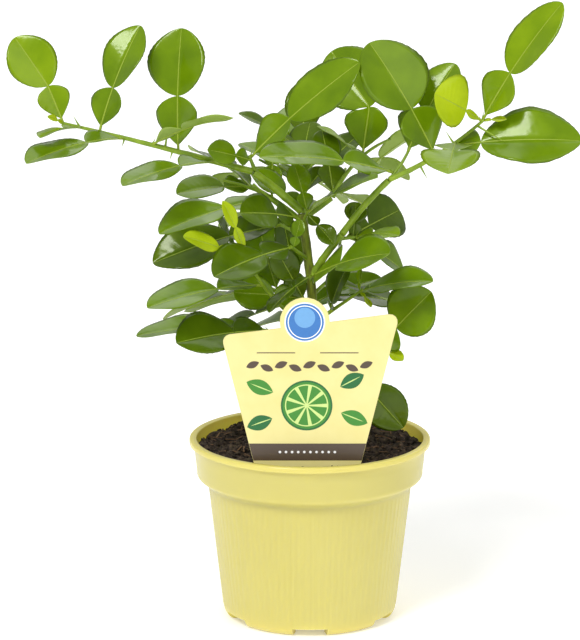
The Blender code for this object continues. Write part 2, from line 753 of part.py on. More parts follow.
def make_pot(collection, cutters):
    """Thin moulded pot: rolled lip, wide band, tapering body and a foot ring with drain slots."""
    band_foot = POT_HEIGHT - BAND_HEIGHT
    body_top = band_foot - STEP_HEIGHT
    lip_foot = POT_HEIGHT - LIP_HEIGHT
    foot_in = BODY_FOOT_RADIUS - NOTCH_DEPTH
    inner = [(0.0, FLOOR_TOP), (wall_radius(FLOOR_TOP) - WALL, FLOOR_TOP)]
    inner += [(wall_radius(body_top) - WALL, body_top), (wall_radius(band_foot) - WALL, band_foot)]
    inner += [(BAND_TOP_RADIUS - WALL, POT_HEIGHT - 0.8), (BAND_TOP_RADIUS - WALL + 0.8, POT_HEIGHT)]
    lip = arc(RIM_RADIUS - 1.2, POT_HEIGHT - 1.2, 1.2, 90, 0, 3) + [(RIM_RADIUS, lip_foot + 0.6)]
    lip += [(RIM_RADIUS - 0.6, lip_foot), (wall_radius(lip_foot - 1.0), lip_foot - 1.0)]
    band = [(BAND_FOOT_RADIUS, band_foot), (BAND_FOOT_RADIUS - 0.9, band_foot - 1.6)]
    band += [(BODY_TOP_RADIUS + 1.4, body_top + 1.8), (BODY_TOP_RADIUS, body_top)]
    foot = arc(BODY_FOOT_RADIUS - FOOT_ROUND + 0.5, FOOT_ROUND, FOOT_ROUND, 0, -90, 5)
    under = [(foot_in, 0.0), (foot_in, FLOOR_UNDER), (BOSS_RADIUS + 1.0, FLOOR_UNDER), (BOSS_RADIUS, 0.0), (0.0, 0.0)]
    pot = turned("pot", inner + lip + band + foot + under, POT_SIDES, collection)
    for i in range(NOTCH_COUNT):
        angle = -90 + 360 * i / NOTCH_COUNT
        bpy.ops.mesh.primitive_cube_add(size=1.0)
        cutter = bpy.context.object
        cutter.name = f"drain_cutter_{i + 1}"
        reach = NOTCH_DEPTH + 6.0
        cutter.scale = (reach * MM, NOTCH_WIDTH * MM, 2.0 * NOTCH_HEIGHT * MM)
        middle = BODY_FOOT_RADIUS + 1.0 - 0.5 * NOTCH_DEPTH
        cutter.location = Vector(heading(angle, 0)) * middle * MM
        cutter.rotation_euler.z = math.radians(angle)
        for holder in list(cutter.users_collection):
            holder.objects.unlink(cutter)
        cutters.objects.link(cutter)
        hide(cutter)
    boolean(pot, "DIFFERENCE", cutters)
    finish(pot, "E3D97F", 0.38)
    return pot


# Soil

def soil_height(x, y):
    """Height of the soil's surface: a low mound towards the trunk, with lumps."""
    r = np.hypot(x - TRUNK_FOOT[0], y - TRUNK_FOOT[1])
    mound = SOIL_MOUND * np.clip(1.0 - (r - COLLAR_RADIUS) / 50.0, 0.0, 1.0)
    lumps = np.sin(0.21 * x + 1.3) * np.cos(0.17 * y + 0.4) + 0.6 * np.sin(0.43 * x - 0.31 * y)
    fade = np.clip((r - COLLAR_RADIUS) / 14.0, 0.0, 1.0)
    return SOIL_EDGE + mound + SOIL_LUMP * lumps * fade


def make_soil(collection, cutters):
    """Soil that fills the pot: a turned block whose top is then made lumpy."""
    clear = WALL + GAP
    band_foot = POT_HEIGHT - BAND_HEIGHT
    body_top = band_foot - STEP_HEIGHT
    edge = wall_radius(SOIL_EDGE - 4.0) - clear
    rings = [COLLAR_RADIUS + (edge - COLLAR_RADIUS) * i / SOIL_RINGS for i in range(SOIL_RINGS + 1)]
    top = [(0.0, SOIL_EDGE)] + [(r, SOIL_EDGE) for r in rings]
    side = [(wall_radius(z) - clear, z) for z in (band_foot, body_top, FLOOR_TOP + GAP)]
    soil = turned("soil", top + side + [(0.0, FLOOR_TOP + GAP)], SOIL_SIDES, collection)
    soil = applied(soil, collection)
    bm = bmesh.new()
    bm.from_mesh(soil.data)
    reach = (edge - COLLAR_RADIUS) / SOIL_RINGS
    for vert in bm.verts:
        x, y, z = vert.co / MM
        r = math.hypot(x, y)
        if z < SOIL_EDGE - 0.5:
            continue
        shift = max(0.0, 1.0 - max(0.0, r - COLLAR_RADIUS) / (2.0 * reach))
        x, y = x + TRUNK_FOOT[0] * shift, y + TRUNK_FOOT[1] * shift
        vert.co = Vector((x, y, float(soil_height(x, y)))) * MM
    bm.to_mesh(soil.data)
    bm.free()
    slot = flat_plate("stake_slot", stake_outline(GAP), LABEL_THICK + 2 * GAP, cutters)
    hide(slot)
    boolean(soil, "DIFFERENCE", cutters)
    finish(soil, "2B211A", 0.95)
    return soil


# Plant label

def rounded(corner, before, after, radius, steps):
    """Arc that rounds a corner between two neighbouring points."""
    corner, before, after = (Vector(p) for p in (corner, before, after))
    a = (before - corner).normalized()
    b = (after - corner).normalized()
    half = 0.5 * a.angle(b)
    centre = corner + (a + b).normalized() * radius / math.sin(half)
    start = corner + a * radius / math.tan(half) - centre
    end = corner + b * radius / math.tan(half) - centre
    sweep = start.angle_signed(end)
    points = []
    for i in range(steps + 1):
        a = -sweep * i / steps
        points.append((centre.x + start.x * math.cos(a) - start.y * math.sin(a),
                       centre.y + start.x * math.sin(a) + start.y * math.cos(a)))
    return points


def stake_outline(grow):
    """Outline of the hole for the stake: the part of the label below LABEL_FOOT_Z, grown."""
    m = LABEL_MIDDLE
    foot = LABEL_FOOT_HALF + grow
    stake = STAKE_HALF + grow
    return [(m - foot, SOIL_EDGE + 16), (m - foot, LABEL_FOOT_Z), (m - stake, STAKE_SHOULDER_Z - grow),
            (m - STAKE_TIP_HALF - grow, STAKE_TIP_Z - grow), (m + STAKE_TIP_HALF + grow, STAKE_TIP_Z - grow),
            (m + stake, STAKE_SHOULDER_Z - grow), (m + foot, LABEL_FOOT_Z), (m + foot, SOIL_EDGE + 16)]


def label_outline():
    """Outline of the label: slanted upper edge with a round head, rounded corners, pointed stake."""
    m = LABEL_MIDDLE
    foot_left = (m - LABEL_FOOT_HALF, LABEL_FOOT_Z)
    foot_right = (m + LABEL_FOOT_HALF, LABEL_FOOT_Z)
    slope = math.atan2(LABEL_RIGHT[1] - LABEL_LEFT[1], LABEL_RIGHT[0] - LABEL_LEFT[0])
    drop = math.degrees(math.asin((BUMP_CENTRE[1] - 171.0) / BUMP_RADIUS))
    tilt = math.degrees(slope)
    head = arc(BUMP_CENTRE[0], BUMP_CENTRE[1], BUMP_RADIUS, tilt - drop, 180 + tilt + drop, 14)
    points = rounded(LABEL_RIGHT, foot_right, LABEL_LEFT, LABEL_CORNER, 4) + head
    points += rounded(LABEL_LEFT, LABEL_RIGHT, foot_left, LABEL_CORNER, 4)
    points += [foot_left, (m - STAKE_HALF, STAKE_SHOULDER_Z), (m - STAKE_TIP_HALF, STAKE_TIP_Z)]
    points += [(m + STAKE_TIP_HALF, STAKE_TIP_Z), (m + STAKE_HALF, STAKE_SHOULDER_Z), foot_right]
    return points


def flat_plate(name, outline, thickness, collection):
    """Upright flat plate at LABEL_Y, from an outline of x and height, as a filled curve."""
    curve = bpy.data.curves.new(name, "CURVE")
    curve.dimensions = "2D"
    curve.fill_mode = "BOTH"
    curve.extrude = 0.5 * thickness * MM
    spline = curve.splines.new("POLY")
    spline.points.add(len(outline) - 1)
    for point, (x, z) in zip(spline.points, outline):
        point.co = (x * MM, z * MM, 0.0, 1.0)
    spline.use_cyclic_u = True
    obj = new_object(name, curve, collection)
    obj.location = (0.0, LABEL_Y * MM, 0.0)
    obj.rotation_euler = (math.radians(90), 0.0, 0.0)
    bpy.context.view_layer.update()
    plate = applied(obj, collection)
    bm = bmesh.new()
    bm.from_mesh(plate.data)
    bmesh.ops.remove_doubles(bm, verts=bm.verts, dist=0.000001)
    bmesh.ops.recalc_face_normals(bm, faces=bm.faces)
    bm.to_mesh(plate.data)
    bm.free()
    return plate


# Plant

def largest_body(mesh):
    """Keep the largest body of a mesh: scraps go, and a hollow shut in by a joint is filled.

    It says whether that body is closed, with two faces at every edge.
    """
    bm = bmesh.new()
    bm.from_mesh(mesh)
    bmesh.ops.triangulate(bm, faces=bm.faces)
    bmesh.ops.remove_doubles(bm, verts=bm.verts, dist=0.000002)
    left = set(bm.verts)
    bodies = []
    while left:
        body = {left.pop()}
        edge = list(body)
        while edge:
            vert = edge.pop()
            for link in vert.link_edges:
                other = link.other_vert(vert)
                if other in left:
                    left.remove(other)
                    body.add(other)
                    edge.append(other)
        bodies.append(body)
    bodies.sort(key=len)
    for body in bodies[:-1]:
        bmesh.ops.delete(bm, geom=list(body), context="VERTS")
    closed = all(edge.is_manifold for edge in bm.edges)
    bm.to_mesh(mesh)
    bm.free()
    return closed


def join_mass(name, pieces, collection):
    """One closed body of a mass: its stem with every twig, leaf and thorn united into it."""
    holder = bpy.data.collections.new(name + "_pieces")
    bpy.context.scene.collection.children.link(holder)
    stem = mesh_object(name, *pieces[0], collection)
    for i, (verts, faces) in enumerate(pieces[1:]):
        mesh_object(f"{name}_piece_{i}", verts, faces, holder)
    spare = stem.copy()
    collection.objects.link(spare)
    boolean(stem, "UNION", holder)
    mass = applied(stem, collection)
    if largest_body(mass.data):
        bpy.data.objects.remove(spare)
    else:
        bpy.data.objects.remove(mass)
        spare.name = name
        boolean(spare, "UNION", holder, "MANIFOLD")
        mass = applied(spare, collection)
        largest_body(mass.data)
    for piece in list(holder.objects):
        bpy.data.objects.remove(piece)
    bpy.data.collections.remove(holder)
    return mass


def tree_of(obj):
    """Search tree of an object's evaluated mesh, in millimetres."""
    mesh = obj.evaluated_get(bpy.context.evaluated_depsgraph_get()).to_mesh()
    verts = np.array([obj.matrix_world @ v.co for v in mesh.vertices]) / MM
    return bvh(verts, [tuple(p.vertices) for p in mesh.polygons])


def make_plant(fixed, collection):
    """The trunk and boughs as tubes, and each mass joined into one body."""
    paths, clears, plan = plan_plant([tree_of(obj) for obj in fixed])
    for name, stem in LIMBS.items():
        obj = mesh_object(name, *limb_body(name, stem, paths[name], clears[name]), collection)
        finish(obj, "6E7440" if name == "trunk" else "7C9A2A", 0.6)
    for name, mass in {**MASSES, **GROWN}.items():
        parts = [limb_body(name, mass["stem"], paths[name], clears[name])]
        for twig in plan[name]["twigs"]:
            parts.append(tube_mesh(twig, np.linspace(TWIG_FOOT, TWIG_TIP, len(twig)), STEM_SIDES))
        parts += [leaf_mesh(base, row) for _, base, row in plan[name]["leaves"]]
        for along, turn, rise, length in mass.get("thorns", []):
            parts.append(thorn_mesh(seat(paths[name], along, clears[name]), turn, rise, length))
        finish(join_mass(name, parts, collection), "5C8A10", 0.35)


def main():
    for obj in list(bpy.data.objects):
        bpy.data.objects.remove(obj)
    scene = bpy.context.scene.collection
    made = bpy.data.collections.new("potted_kaffir_lime")
    pot_cutters = bpy.data.collections.new("pot_cutters")
    soil_cutters = bpy.data.collections.new("soil_cutters")
    for collection in (made, pot_cutters, soil_cutters):
        scene.children.link(collection)
    pot = make_pot(made, pot_cutters)
    soil = make_soil(made, soil_cutters)
    label = flat_plate("plant_label", label_outline(), LABEL_THICK, made)
    finish(label, "FBF2A6", 0.4)
    bpy.context.view_layer.update()
    make_plant([pot, soil, label], made)


if __name__ == "__main__":
    main()
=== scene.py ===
# %% [markdown]
# # Potted kaffir lime tree
#
# A young citrus in a pale yellow nursery pot, as it stands on a shop's table. A kaffir lime is
# known by its double leaves: a blade, and below it a winged stalk almost as wide. The solids of
# the part give the size and the place of everything. This lesson dresses them: the same rule
# that grew the solids is run again with finer leaves, twigs and thorns.

# %% Load the frame
import math

import bpy
import numpy as np
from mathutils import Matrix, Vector
from mathutils.bvhtree import BVHTree


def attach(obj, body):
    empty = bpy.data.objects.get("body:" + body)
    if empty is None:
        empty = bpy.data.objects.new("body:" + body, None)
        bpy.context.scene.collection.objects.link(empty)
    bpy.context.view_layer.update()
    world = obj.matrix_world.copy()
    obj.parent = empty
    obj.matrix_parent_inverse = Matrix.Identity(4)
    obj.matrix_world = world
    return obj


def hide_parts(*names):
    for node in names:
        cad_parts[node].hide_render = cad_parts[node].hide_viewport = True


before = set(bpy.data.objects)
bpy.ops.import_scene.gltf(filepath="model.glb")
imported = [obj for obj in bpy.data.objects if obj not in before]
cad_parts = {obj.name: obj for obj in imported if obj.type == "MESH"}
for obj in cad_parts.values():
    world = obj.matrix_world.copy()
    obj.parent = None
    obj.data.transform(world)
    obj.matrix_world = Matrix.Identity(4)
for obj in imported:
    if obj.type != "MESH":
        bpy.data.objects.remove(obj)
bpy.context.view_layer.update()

# %% [markdown]
# ## Sizes
#
# Lengths are in millimetres and angles in degrees, because a plant this small is measured with
# a ruler. Everything is multiplied by MM when a mesh is made.

# %% Driving sizes
MM = 0.001
GAP = 0.3                      # clearance between pieces that touch

# Pot
POT_HEIGHT = 98.5
RIM_RADIUS = 65.0              # outside of the rolled lip
BAND_TOP_RADIUS = 62.9         # the wide band below the lip, at its top
BAND_FOOT_RADIUS = 61.0        # and at its foot
BAND_HEIGHT = 19.5             # lip and band together
STEP_HEIGHT = 6.5              # the band curls in to the body over this height
BAND_FOOT_Z = POT_HEIGHT - BAND_HEIGHT
BODY_TOP_Z = BAND_FOOT_Z - STEP_HEIGHT
BODY_TOP_RADIUS = 54.7
BODY_FOOT_RADIUS = 46.4
FOOT_ROUND = 5.0               # radius of the rounded bottom edge
LIP_HEIGHT = 3.2
WALL = 1.8
FLOOR_TOP = 6.8                # inside floor of the pot
FLOOR_UNDER = 4.7              # its underside, raised inside the foot ring
BOSS_RADIUS = 12.0             # flat boss in the middle of the underside, level with the ring
NOTCH_COUNT = 6                # drain slots through the foot ring
NOTCH_WIDTH = 19.0
NOTCH_HEIGHT = 4.4
NOTCH_DEPTH = 9.0              # the ring's width

# Soil
SOIL_EDGE = 93.2               # height of the soil at the pot wall
SOIL_MOUND = 3.2               # how much higher it lies at the trunk
SOIL_LUMP = 1.3                # height of its lumps
COLLAR_RADIUS = 7.0            # level spot that the trunk stands on

# Plant label
LABEL_Y = -48.0
LABEL_THICK = 0.9
LABEL_MIDDLE = -1.5            # x of its middle line
LABEL_FOOT_HALF = 28.5         # half width where it goes into the soil
LABEL_FOOT_Z = 98.0
LABEL_LEFT = (-46.5, 165.5)    # the two upper corners, x and z
LABEL_RIGHT = (46.5, 177.5)
BUMP_CENTRE = (-3.0, 172.6)    # round head in the middle of the upper edge

# Leaves: a kaffir lime leaf is a blade and a winged stalk nearly as wide, joined end to end.
STALK = 0.05                   # share of the length that is bare stalk
STALK_HALF = 0.65              # half widths of the bare stalk and of the joint
JOINT_HALF = 0.75
LEAF_THICK = 0.016             # thickness at the midrib, as a share of the length
LEAF_FOLD = 11.0               # each half of the leaf rises this much from the midrib
LEAF_ARCH = -22.0              # turn of the midrib from base to tip
WING_STEPS = (0.0, 0.28, 0.62, 0.90)       # cuts across the wing and the blade of a coarse leaf
BLADE_STEPS = (0.0, 0.10, 0.32, 0.62, 0.88, 1.0)
TEST_THICK = 2.0               # a coarse leaf is this many times thicker while it is tried

# Stems
LIMB_SIDES = 8                 # sides of the coarse limbs and stems that leaves are tried against
STEM_SIDES = 5
ROOT_FLARE = 1.3               # the trunk is this much wider at its foot
FLARE_HEIGHT = 4.0             # height over which the flare fades
ROOT_SINK = 1.5                # a leaf at a stem's tip starts this far back inside it
ROOT_PAST = 1.4                # and one at its foot this far out from the carrier

# The seeded masses
GOLDEN_ANGLE = 137.5           # from one leaf to the next, round the twig
NODE_SPACING = 12.0            # from one node of a stem to the next
TWIG_SIZES = (24.0, 34.0)      # shortest and longest side twig
TWIG_FOOT = 1.0                # radius of a side twig at its foot and at its tip
TWIG_TIP = 0.7
TWIG_STEPS = 3
LEAF_SIZES = (44.0, 62.0)      # shortest and longest leaf

# A leaf that would touch something is turned aside: turn, rise and roll, tried in this order
NUDGES = [(turn, rise, roll) for roll in (0, 14, -14) for rise in (0, 5, -5, 10, -10)
          for turn in (0, 6, -6, 12, -12, 20, -20)]

# %% Limbs
# Each limb: its carrier, its place along the carrier, turn, rise, length, lift of its middle,
# sway of its middle, radius at its start and radius at its end.
TRUNK_FOOT = (2.0, 0.0)
LIMBS = {
    "trunk": (None, 0.0, 180, 87, 124.0, 3.5, 0.0, 3.1, 2.4),
    "bough_left": ("trunk", 1.0, 196, 40, 34.0, 0.5, 0.0, 2.35, 2.15),
    "bough_centre": ("trunk", 0.975, 28, 30, 20.0, 0.0, 0.0, 1.6, 1.5),
    "bough_right": ("trunk", 0.72, 337, 54, 31.0, 0.5, 0.0, 2.0, 1.9),
    "bough_right_upper": ("bough_right", 1.0, 342, 50, 39.0, 1.0, 0.0, 1.85, 1.7),
    "bough_back": ("trunk", 0.80, 95, 42, 34.0, 0.0, 0.0, 1.9, 1.6),
}

# %% [markdown]
# ## Helpers
#
# A surface is a grid of points: rows along it and columns round or across it. It could be built
# face by face with bmesh, but whole arrays are shorter to write and much faster, so each shape
# below is one formula on a grid, and these helpers turn grids into pieces.

# %% Grids to pieces
def grid_faces(rows, cols):
    """Quads between neighbouring rows and columns; the last column meets the first."""
    i = np.arange(rows - 1)[:, None]
    j = np.arange(cols)[None, :]
    k = (j + 1) % cols
    quads = np.stack([i * cols + j, i * cols + k, (i + 1) * cols + k, (i + 1) * cols + j], -1)
    return quads.reshape(-1, 4).tolist()


def capped(rows, cols):
    """Faces of a closed tube of rings: its sides, and a face over each end."""
    ends = [list(range(cols))[::-1], [(rows - 1) * cols + j for j in range(cols)]]
    return grid_faces(rows, cols) + ends


def mesh_piece(name, verts, faces, materials, index=None, slot=None, replaced=(), smooth=True):
    """A finished piece from points in millimetres; it rides on the one body there is."""
    mesh = bpy.data.meshes.new(name)
    mesh.from_pydata((np.asarray(verts) * MM).tolist(), [], faces)
    if index is not None:
        mesh.polygons.foreach_set("material_index", np.asarray(index, np.int32))
    mesh.polygons.foreach_set("use_smooth", np.full(len(mesh.polygons), smooth))
    for material in materials:
        mesh.materials.append(material)
    mesh.update()
    obj = bpy.data.objects.new(name, mesh)
    bpy.context.scene.collection.objects.link(obj)
    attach(obj, "root")
    if replaced:
        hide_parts(*replaced)
    print(name, len(mesh.vertices), "points", len(mesh.polygons), "faces")
    return obj


class Heap:
    """Many small shapes gathered into one mesh: points, faces and a material number for each."""

    def __init__(self):
        self.verts, self.faces, self.index, self.count = [], [], [], 0

    def add(self, verts, faces, index=0):
        self.verts.append(np.asarray(verts, float))
        self.faces += [[self.count + i for i in face] for face in faces]
        self.index += list(index) if hasattr(index, "__len__") else [index] * len(faces)
        self.count += len(verts)

    def piece(self, name, materials, **rest):
        return mesh_piece(name, np.concatenate(self.verts), self.faces, materials, self.index, **rest)


# %% Colours and nodes
def linear(hexed):
    """Linear colour with alpha from an sRGB hex value."""
    c = np.array([int(hexed[i:i + 2], 16) for i in (0, 2, 4)]) / 255
    return (*np.where(c <= 0.04045, c / 12.92, ((c + 0.055) / 1.055) ** 2.4), 1.0)


def add_node(tree, kind, **sockets):
    """Add a node and set its inputs, each to a value or to another node's output."""
    made = tree.nodes.new(kind)
    for key, value in sockets.items():
        socket = made.inputs[key.replace("_", " ")]
        if isinstance(value, bpy.types.NodeSocket):
            tree.links.new(value, socket)
        else:
            socket.default_value = value
    return made


def noise(tree, size, detail, stretch=1.0):
    """Noise whose features are so many millimetres across, and 1 / stretch times as tall."""
    coords = add_node(tree, "ShaderNodeTexCoord").outputs["Object"]
    if stretch != 1.0:
        mapping = add_node(tree, "ShaderNodeMapping", Vector=coords, Scale=(1.0, 1.0, stretch))
        coords = mapping.outputs["Vector"]
    made = add_node(tree, "ShaderNodeTexNoise", Vector=coords, Scale=1.0 / (size * MM), Detail=detail)
    return made.outputs["Fac"]


def surface(name, roughness, ior=1.5, patches=None, colours=(), grain=None, stretch=1.0, **sockets):
    """New material with one Principled shader.

    patches is the size and detail of a noise, and colours are its stops, each a place and a hex
    colour. grain is the size and detail of a second noise, and the strength and depth of the
    bump it makes. Sockets are other inputs of the shader.
    """
    material = bpy.data.materials.new(name)
    material.use_nodes = True
    tree = material.node_tree
    shader = tree.nodes["Principled BSDF"]
    for key, value in {"Roughness": roughness, "IOR": ior, **sockets}.items():
        shader.inputs[key.replace("_", " ")].default_value = value
    if patches:
        ramp = add_node(tree, "ShaderNodeValToRGB", Fac=noise(tree, *patches, stretch))
        elements = ramp.color_ramp.elements
        while len(elements) < len(colours):
            elements.new(0.5)
        for element, (place, hexed) in zip(elements, colours):
            element.position = place
            element.color = linear(hexed)
        tree.links.new(ramp.outputs["Color"], shader.inputs["Base Color"])
    if grain:
        size, detail, strength, depth = grain
        height = noise(tree, size, detail, stretch)
        bump = add_node(tree, "ShaderNodeBump", Strength=strength, Distance=depth * MM, Height=height)
        tree.links.new(bump.outputs["Normal"], shader.inputs["Normal"])
    return material


# %% [markdown]
# ## Camera and studio
#
# The photo was taken from a little above, from far away with a long lens, against white. The
# camera here is the one that puts the pot's rim and foot where the photo has them. Three wide
# soft lights and a white surround give the even light of a catalogue picture. The key light is
# the smallest, so its reflections show how glossy citrus leaves are. Lamps close by could do
# the same, but far ones light the whole floor alike, which keeps it white to the horizon.

# %% Camera
PHOTO_WIDTH = 580
PHOTO_HEIGHT = 640
FOCAL_PIXELS = 3144.4          # focal length, in pixels of the photo
CAMERA_PLACE = (-0.0107, -1.6417, 0.5343)      # in metres
CAMERA_DOWN = 12.75            # how far it looks down
SENSOR = 36.0

camera_data = bpy.data.cameras.new("camera")
camera_data.sensor_width = SENSOR
camera_data.lens = FOCAL_PIXELS * SENSOR / max(PHOTO_WIDTH, PHOTO_HEIGHT)
camera = bpy.data.objects.new("camera", camera_data)
camera.location = CAMERA_PLACE
camera.rotation_euler = (math.radians(90 - CAMERA_DOWN), 0.0, 0.0)
bpy.context.scene.collection.objects.link(camera)
bpy.context.scene.camera = camera
print("lens", round(camera_data.lens, 1), "mm")


# %% Light, surround and floor
# Each light: its turn and rise as seen from the plant, its spread and its strength.
LIGHTS = {
    "key": (-122, 46, 20, 1.65),
    "fill": (-55, 35, 50, 0.75),
    "from_behind": (80, 50, 50, 0.65),
}
SURROUND = 0.42                # brightness of the white surround
FLOOR_GLOW = 0.25              # the board glows a little, so that shadows on it stay pale
FLOOR_HALF = 8.0               # half the floor's side, in metres


def soft_sun(name, turn, rise, spread, strength):
    """Far light from a turn and a rise; its spread is the angle over which it is soft."""
    data = bpy.data.lights.new(name, "SUN")
    data.angle = math.radians(spread)
    data.energy = strength
    light = bpy.data.objects.new(name, data)
    a, b = math.radians(turn), math.radians(rise)
    away = Vector((math.cos(a) * math.cos(b), math.sin(a) * math.cos(b), math.sin(b)))
    light.rotation_euler = away.to_track_quat("Z", "Y").to_euler()
    bpy.context.scene.collection.objects.link(light)


for name, light in LIGHTS.items():
    soft_sun(name, *light)

world = bpy.data.worlds.new("surround")
world.use_nodes = True
background = world.node_tree.nodes["Background"]
background.inputs["Color"].default_value = linear("FFFFFF")
background.inputs["Strength"].default_value = SURROUND
bpy.context.scene.world = world
bpy.context.scene.view_settings.view_transform = "Standard"

floor_mesh = bpy.data.meshes.new("floor")
corners = [(x * FLOOR_HALF, y * FLOOR_HALF, 0) for x, y in ((-1, -1), (1, -1), (1, 1), (-1, 1))]
floor_mesh.from_pydata(corners, [], [(0, 1, 2, 3)])
floor = bpy.data.objects.new("floor", floor_mesh)
white_board = surface("matte_white_board", 0.9, Base_Color=linear("FAFAF9"),
                      Emission_Color=linear("FFFFFF"), Emission_Strength=FLOOR_GLOW)
floor_mesh.materials.append(white_board)
bpy.context.scene.collection.objects.link(floor)
print("lights:", ", ".join(LIGHTS))

# %% [markdown]
# ## Pot
#
# A nursery pot is thin polypropylene, moulded in one shot: a rolled lip, a wide band that
# stacks on the pot below, and a tapering body with faint upright flutes. It could be a Screw
# modifier on a profile. Here the profile is carried round by a formula, because the flutes and
# the drain slots change the radius and the height with the angle.

# %% Pot profile
MOUTH_ROUND = 0.8              # radii of the lip's three rounded edges: inner, outer and lower
LIP_ROUND = 1.2
LIP_FOOT_ROUND = 0.7
AXIS = 0.01                    # a surface stops this close to its axis, and a face closes it


def wall_radius(z):
    """Outside radius of the pot below its lip, at a height."""
    heights = [0.0, BODY_TOP_Z, BAND_FOOT_Z, POT_HEIGHT]
    radii = [BODY_FOOT_RADIUS, BODY_TOP_RADIUS, BAND_FOOT_RADIUS, BAND_TOP_RADIUS]
    return float(np.interp(z, heights, radii))


def bend(cx, cz, radius, start, end, steps):
    """Arc of a profile: points at a radius about a centre, from one angle to another."""
    a = np.radians(np.linspace(start, end, steps + 1))
    return np.stack([cx + radius * np.cos(a), cz + radius * np.sin(a)], 1)


def inner(z):
    """Point of the pot's inside at a height."""
    return wall_radius(z) - WALL, z


def outer(z):
    """Point of the pot's outside at a height."""
    return wall_radius(z), z


def pot_profile():
    """Radius and height from the inner floor up, over the lip, down outside and in to the axis."""
    lip_foot = POT_HEIGHT - LIP_HEIGHT
    ring_inside = BODY_FOOT_RADIUS - NOTCH_DEPTH
    drop = np.linspace(0.0, 1.0, 9)[:, None]
    curl = 0.5 - 0.5 * np.cos(math.pi * drop)
    step_radius = BAND_FOOT_RADIUS + (BODY_TOP_RADIUS - BAND_FOOT_RADIUS) * curl
    step = np.hstack([step_radius, BAND_FOOT_Z - STEP_HEIGHT * drop])
    body = [outer(z) for z in np.linspace(BODY_TOP_Z - 1.5, FOOT_ROUND + 1.0, 12)]
    mouth = BAND_TOP_RADIUS - WALL + MOUTH_ROUND
    return np.concatenate([
        [(AXIS, FLOOR_TOP), inner(FLOOR_TOP), inner(BODY_TOP_Z), inner(BAND_FOOT_Z)],
        [(BAND_TOP_RADIUS - WALL, POT_HEIGHT - 2.0)],
        bend(mouth, POT_HEIGHT - MOUTH_ROUND, MOUTH_ROUND, 180, 90, 5),
        bend(RIM_RADIUS - LIP_ROUND, POT_HEIGHT - LIP_ROUND, LIP_ROUND, 90, 0, 6),
        bend(RIM_RADIUS - LIP_FOOT_ROUND, lip_foot + LIP_FOOT_ROUND, LIP_FOOT_ROUND, 0, -90, 4),
        [(wall_radius(lip_foot) + 0.3, lip_foot), (wall_radius(lip_foot), lip_foot - 0.4)],
        [outer(lip_foot - 6.0), (BAND_FOOT_RADIUS, BAND_FOOT_Z + 1.0)],
        step, body,
        bend(BODY_FOOT_RADIUS - FOOT_ROUND + 0.5, FOOT_ROUND, FOOT_ROUND, 0, -90, 8),
        [(ring_inside, 0.0), (ring_inside, FLOOR_UNDER), (BOSS_RADIUS + 1.0, FLOOR_UNDER)],
        [(BOSS_RADIUS, 0.0), (AXIS, 0.0)],
    ])


# %% Pot surface
FLUTES = 90                    # faint upright flutes round the body
FLUTE_DEPTH = 0.16
SLOT_EDGE = math.degrees(0.5 * NOTCH_WIDTH / BODY_FOOT_RADIUS)     # half a drain slot, as an angle
SLOT_SHEER = 0.05              # half the angle over which the side of a slot rises


def pot_grid():
    """Profile carried round the axis: flutes change the radius, drain slots lift the foot."""
    profile = pot_profile()
    edges = [-90 + 360 * k / NOTCH_COUNT + side * (SLOT_EDGE + out)
             for k in range(NOTCH_COUNT) for side in (-1, 1) for out in (-SLOT_SHEER, SLOT_SHEER)]
    every_degree = np.arange(0.0, 360.0, 1.0)
    angles = np.unique(np.round(np.concatenate([every_degree, np.mod(edges, 360)]), 3))
    r, z = profile[:, 0][:, None], profile[:, 1][:, None]
    outside = np.cumsum(profile[:, 1] >= POT_HEIGHT)[:, None] > 0
    body = outside & (z > FOOT_ROUND) & (z < BODY_TOP_Z - 1.0)
    r = r + body * FLUTE_DEPTH * np.cos(np.radians(angles)[None, :] * FLUTES)
    half_pitch = 180 / NOTCH_COUNT
    apart = np.abs(np.mod(angles + 90 + half_pitch, 2 * half_pitch) - half_pitch)
    slot = (apart < SLOT_EDGE)[None, :] & outside & (r > BODY_FOOT_RADIUS - NOTCH_DEPTH - 0.1)
    z = np.where(slot, np.maximum(z, NOTCH_HEIGHT), z)
    a = np.radians(angles)[None, :]
    points = np.stack([r * np.cos(a), r * np.sin(a), z], -1)
    return points.reshape(-1, 3), len(profile), len(angles)


# %% Pot in its plastic
# Satin moulded plastic: soft highlights, a slight cloudiness of the colour and a fine moulded
# grain. Light wanders through the thin wall, which brightens the inside of the mouth.
pot_plastic = surface("moulded_polypropylene_pale_yellow", 0.27, 1.49,
                      (60, 3.0), ((0.3, "D6C86E"), (0.7, "DCCE76")), (0.9, 2.0, 0.06, 0.2),
                      Subsurface_Weight=0.6, Subsurface_Radius=(0.008, 0.0075, 0.004),
                      Subsurface_Scale=1.0)

points, rows, cols = pot_grid()
faces = capped(rows, cols)
pot = mesh_piece("pot_shell", points, faces, [pot_plastic], slot="pot", replaced=["pot"])
pot.data.set_sharp_from_angle(angle=math.radians(50))

# %% [markdown]
# ## Soil
#
# Potting soil is dark milled peat: lumps of a few millimetres, crumbs and pale fibres. A bump
# map on a flat disc looks like felt from this low camera, so the lumps are real: a polar grid
# with several sizes of waves, and seeded crumbs and fibres laid on it.

# %% Soil surface
def soil_height(x, y):
    """Height of the soil's surface: a low mound towards the trunk, with lumps."""
    r = np.hypot(x - TRUNK_FOOT[0], y - TRUNK_FOOT[1])
    mound = SOIL_MOUND * np.clip(1.0 - (r - COLLAR_RADIUS) / 50.0, 0.0, 1.0)
    lumps = np.sin(0.21 * x + 1.3) * np.cos(0.17 * y + 0.4) + 0.6 * np.sin(0.43 * x - 0.31 * y)
    fade = np.clip((r - COLLAR_RADIUS) / 14.0, 0.0, 1.0)
    return SOIL_EDGE + mound + SOIL_LUMP * lumps * fade


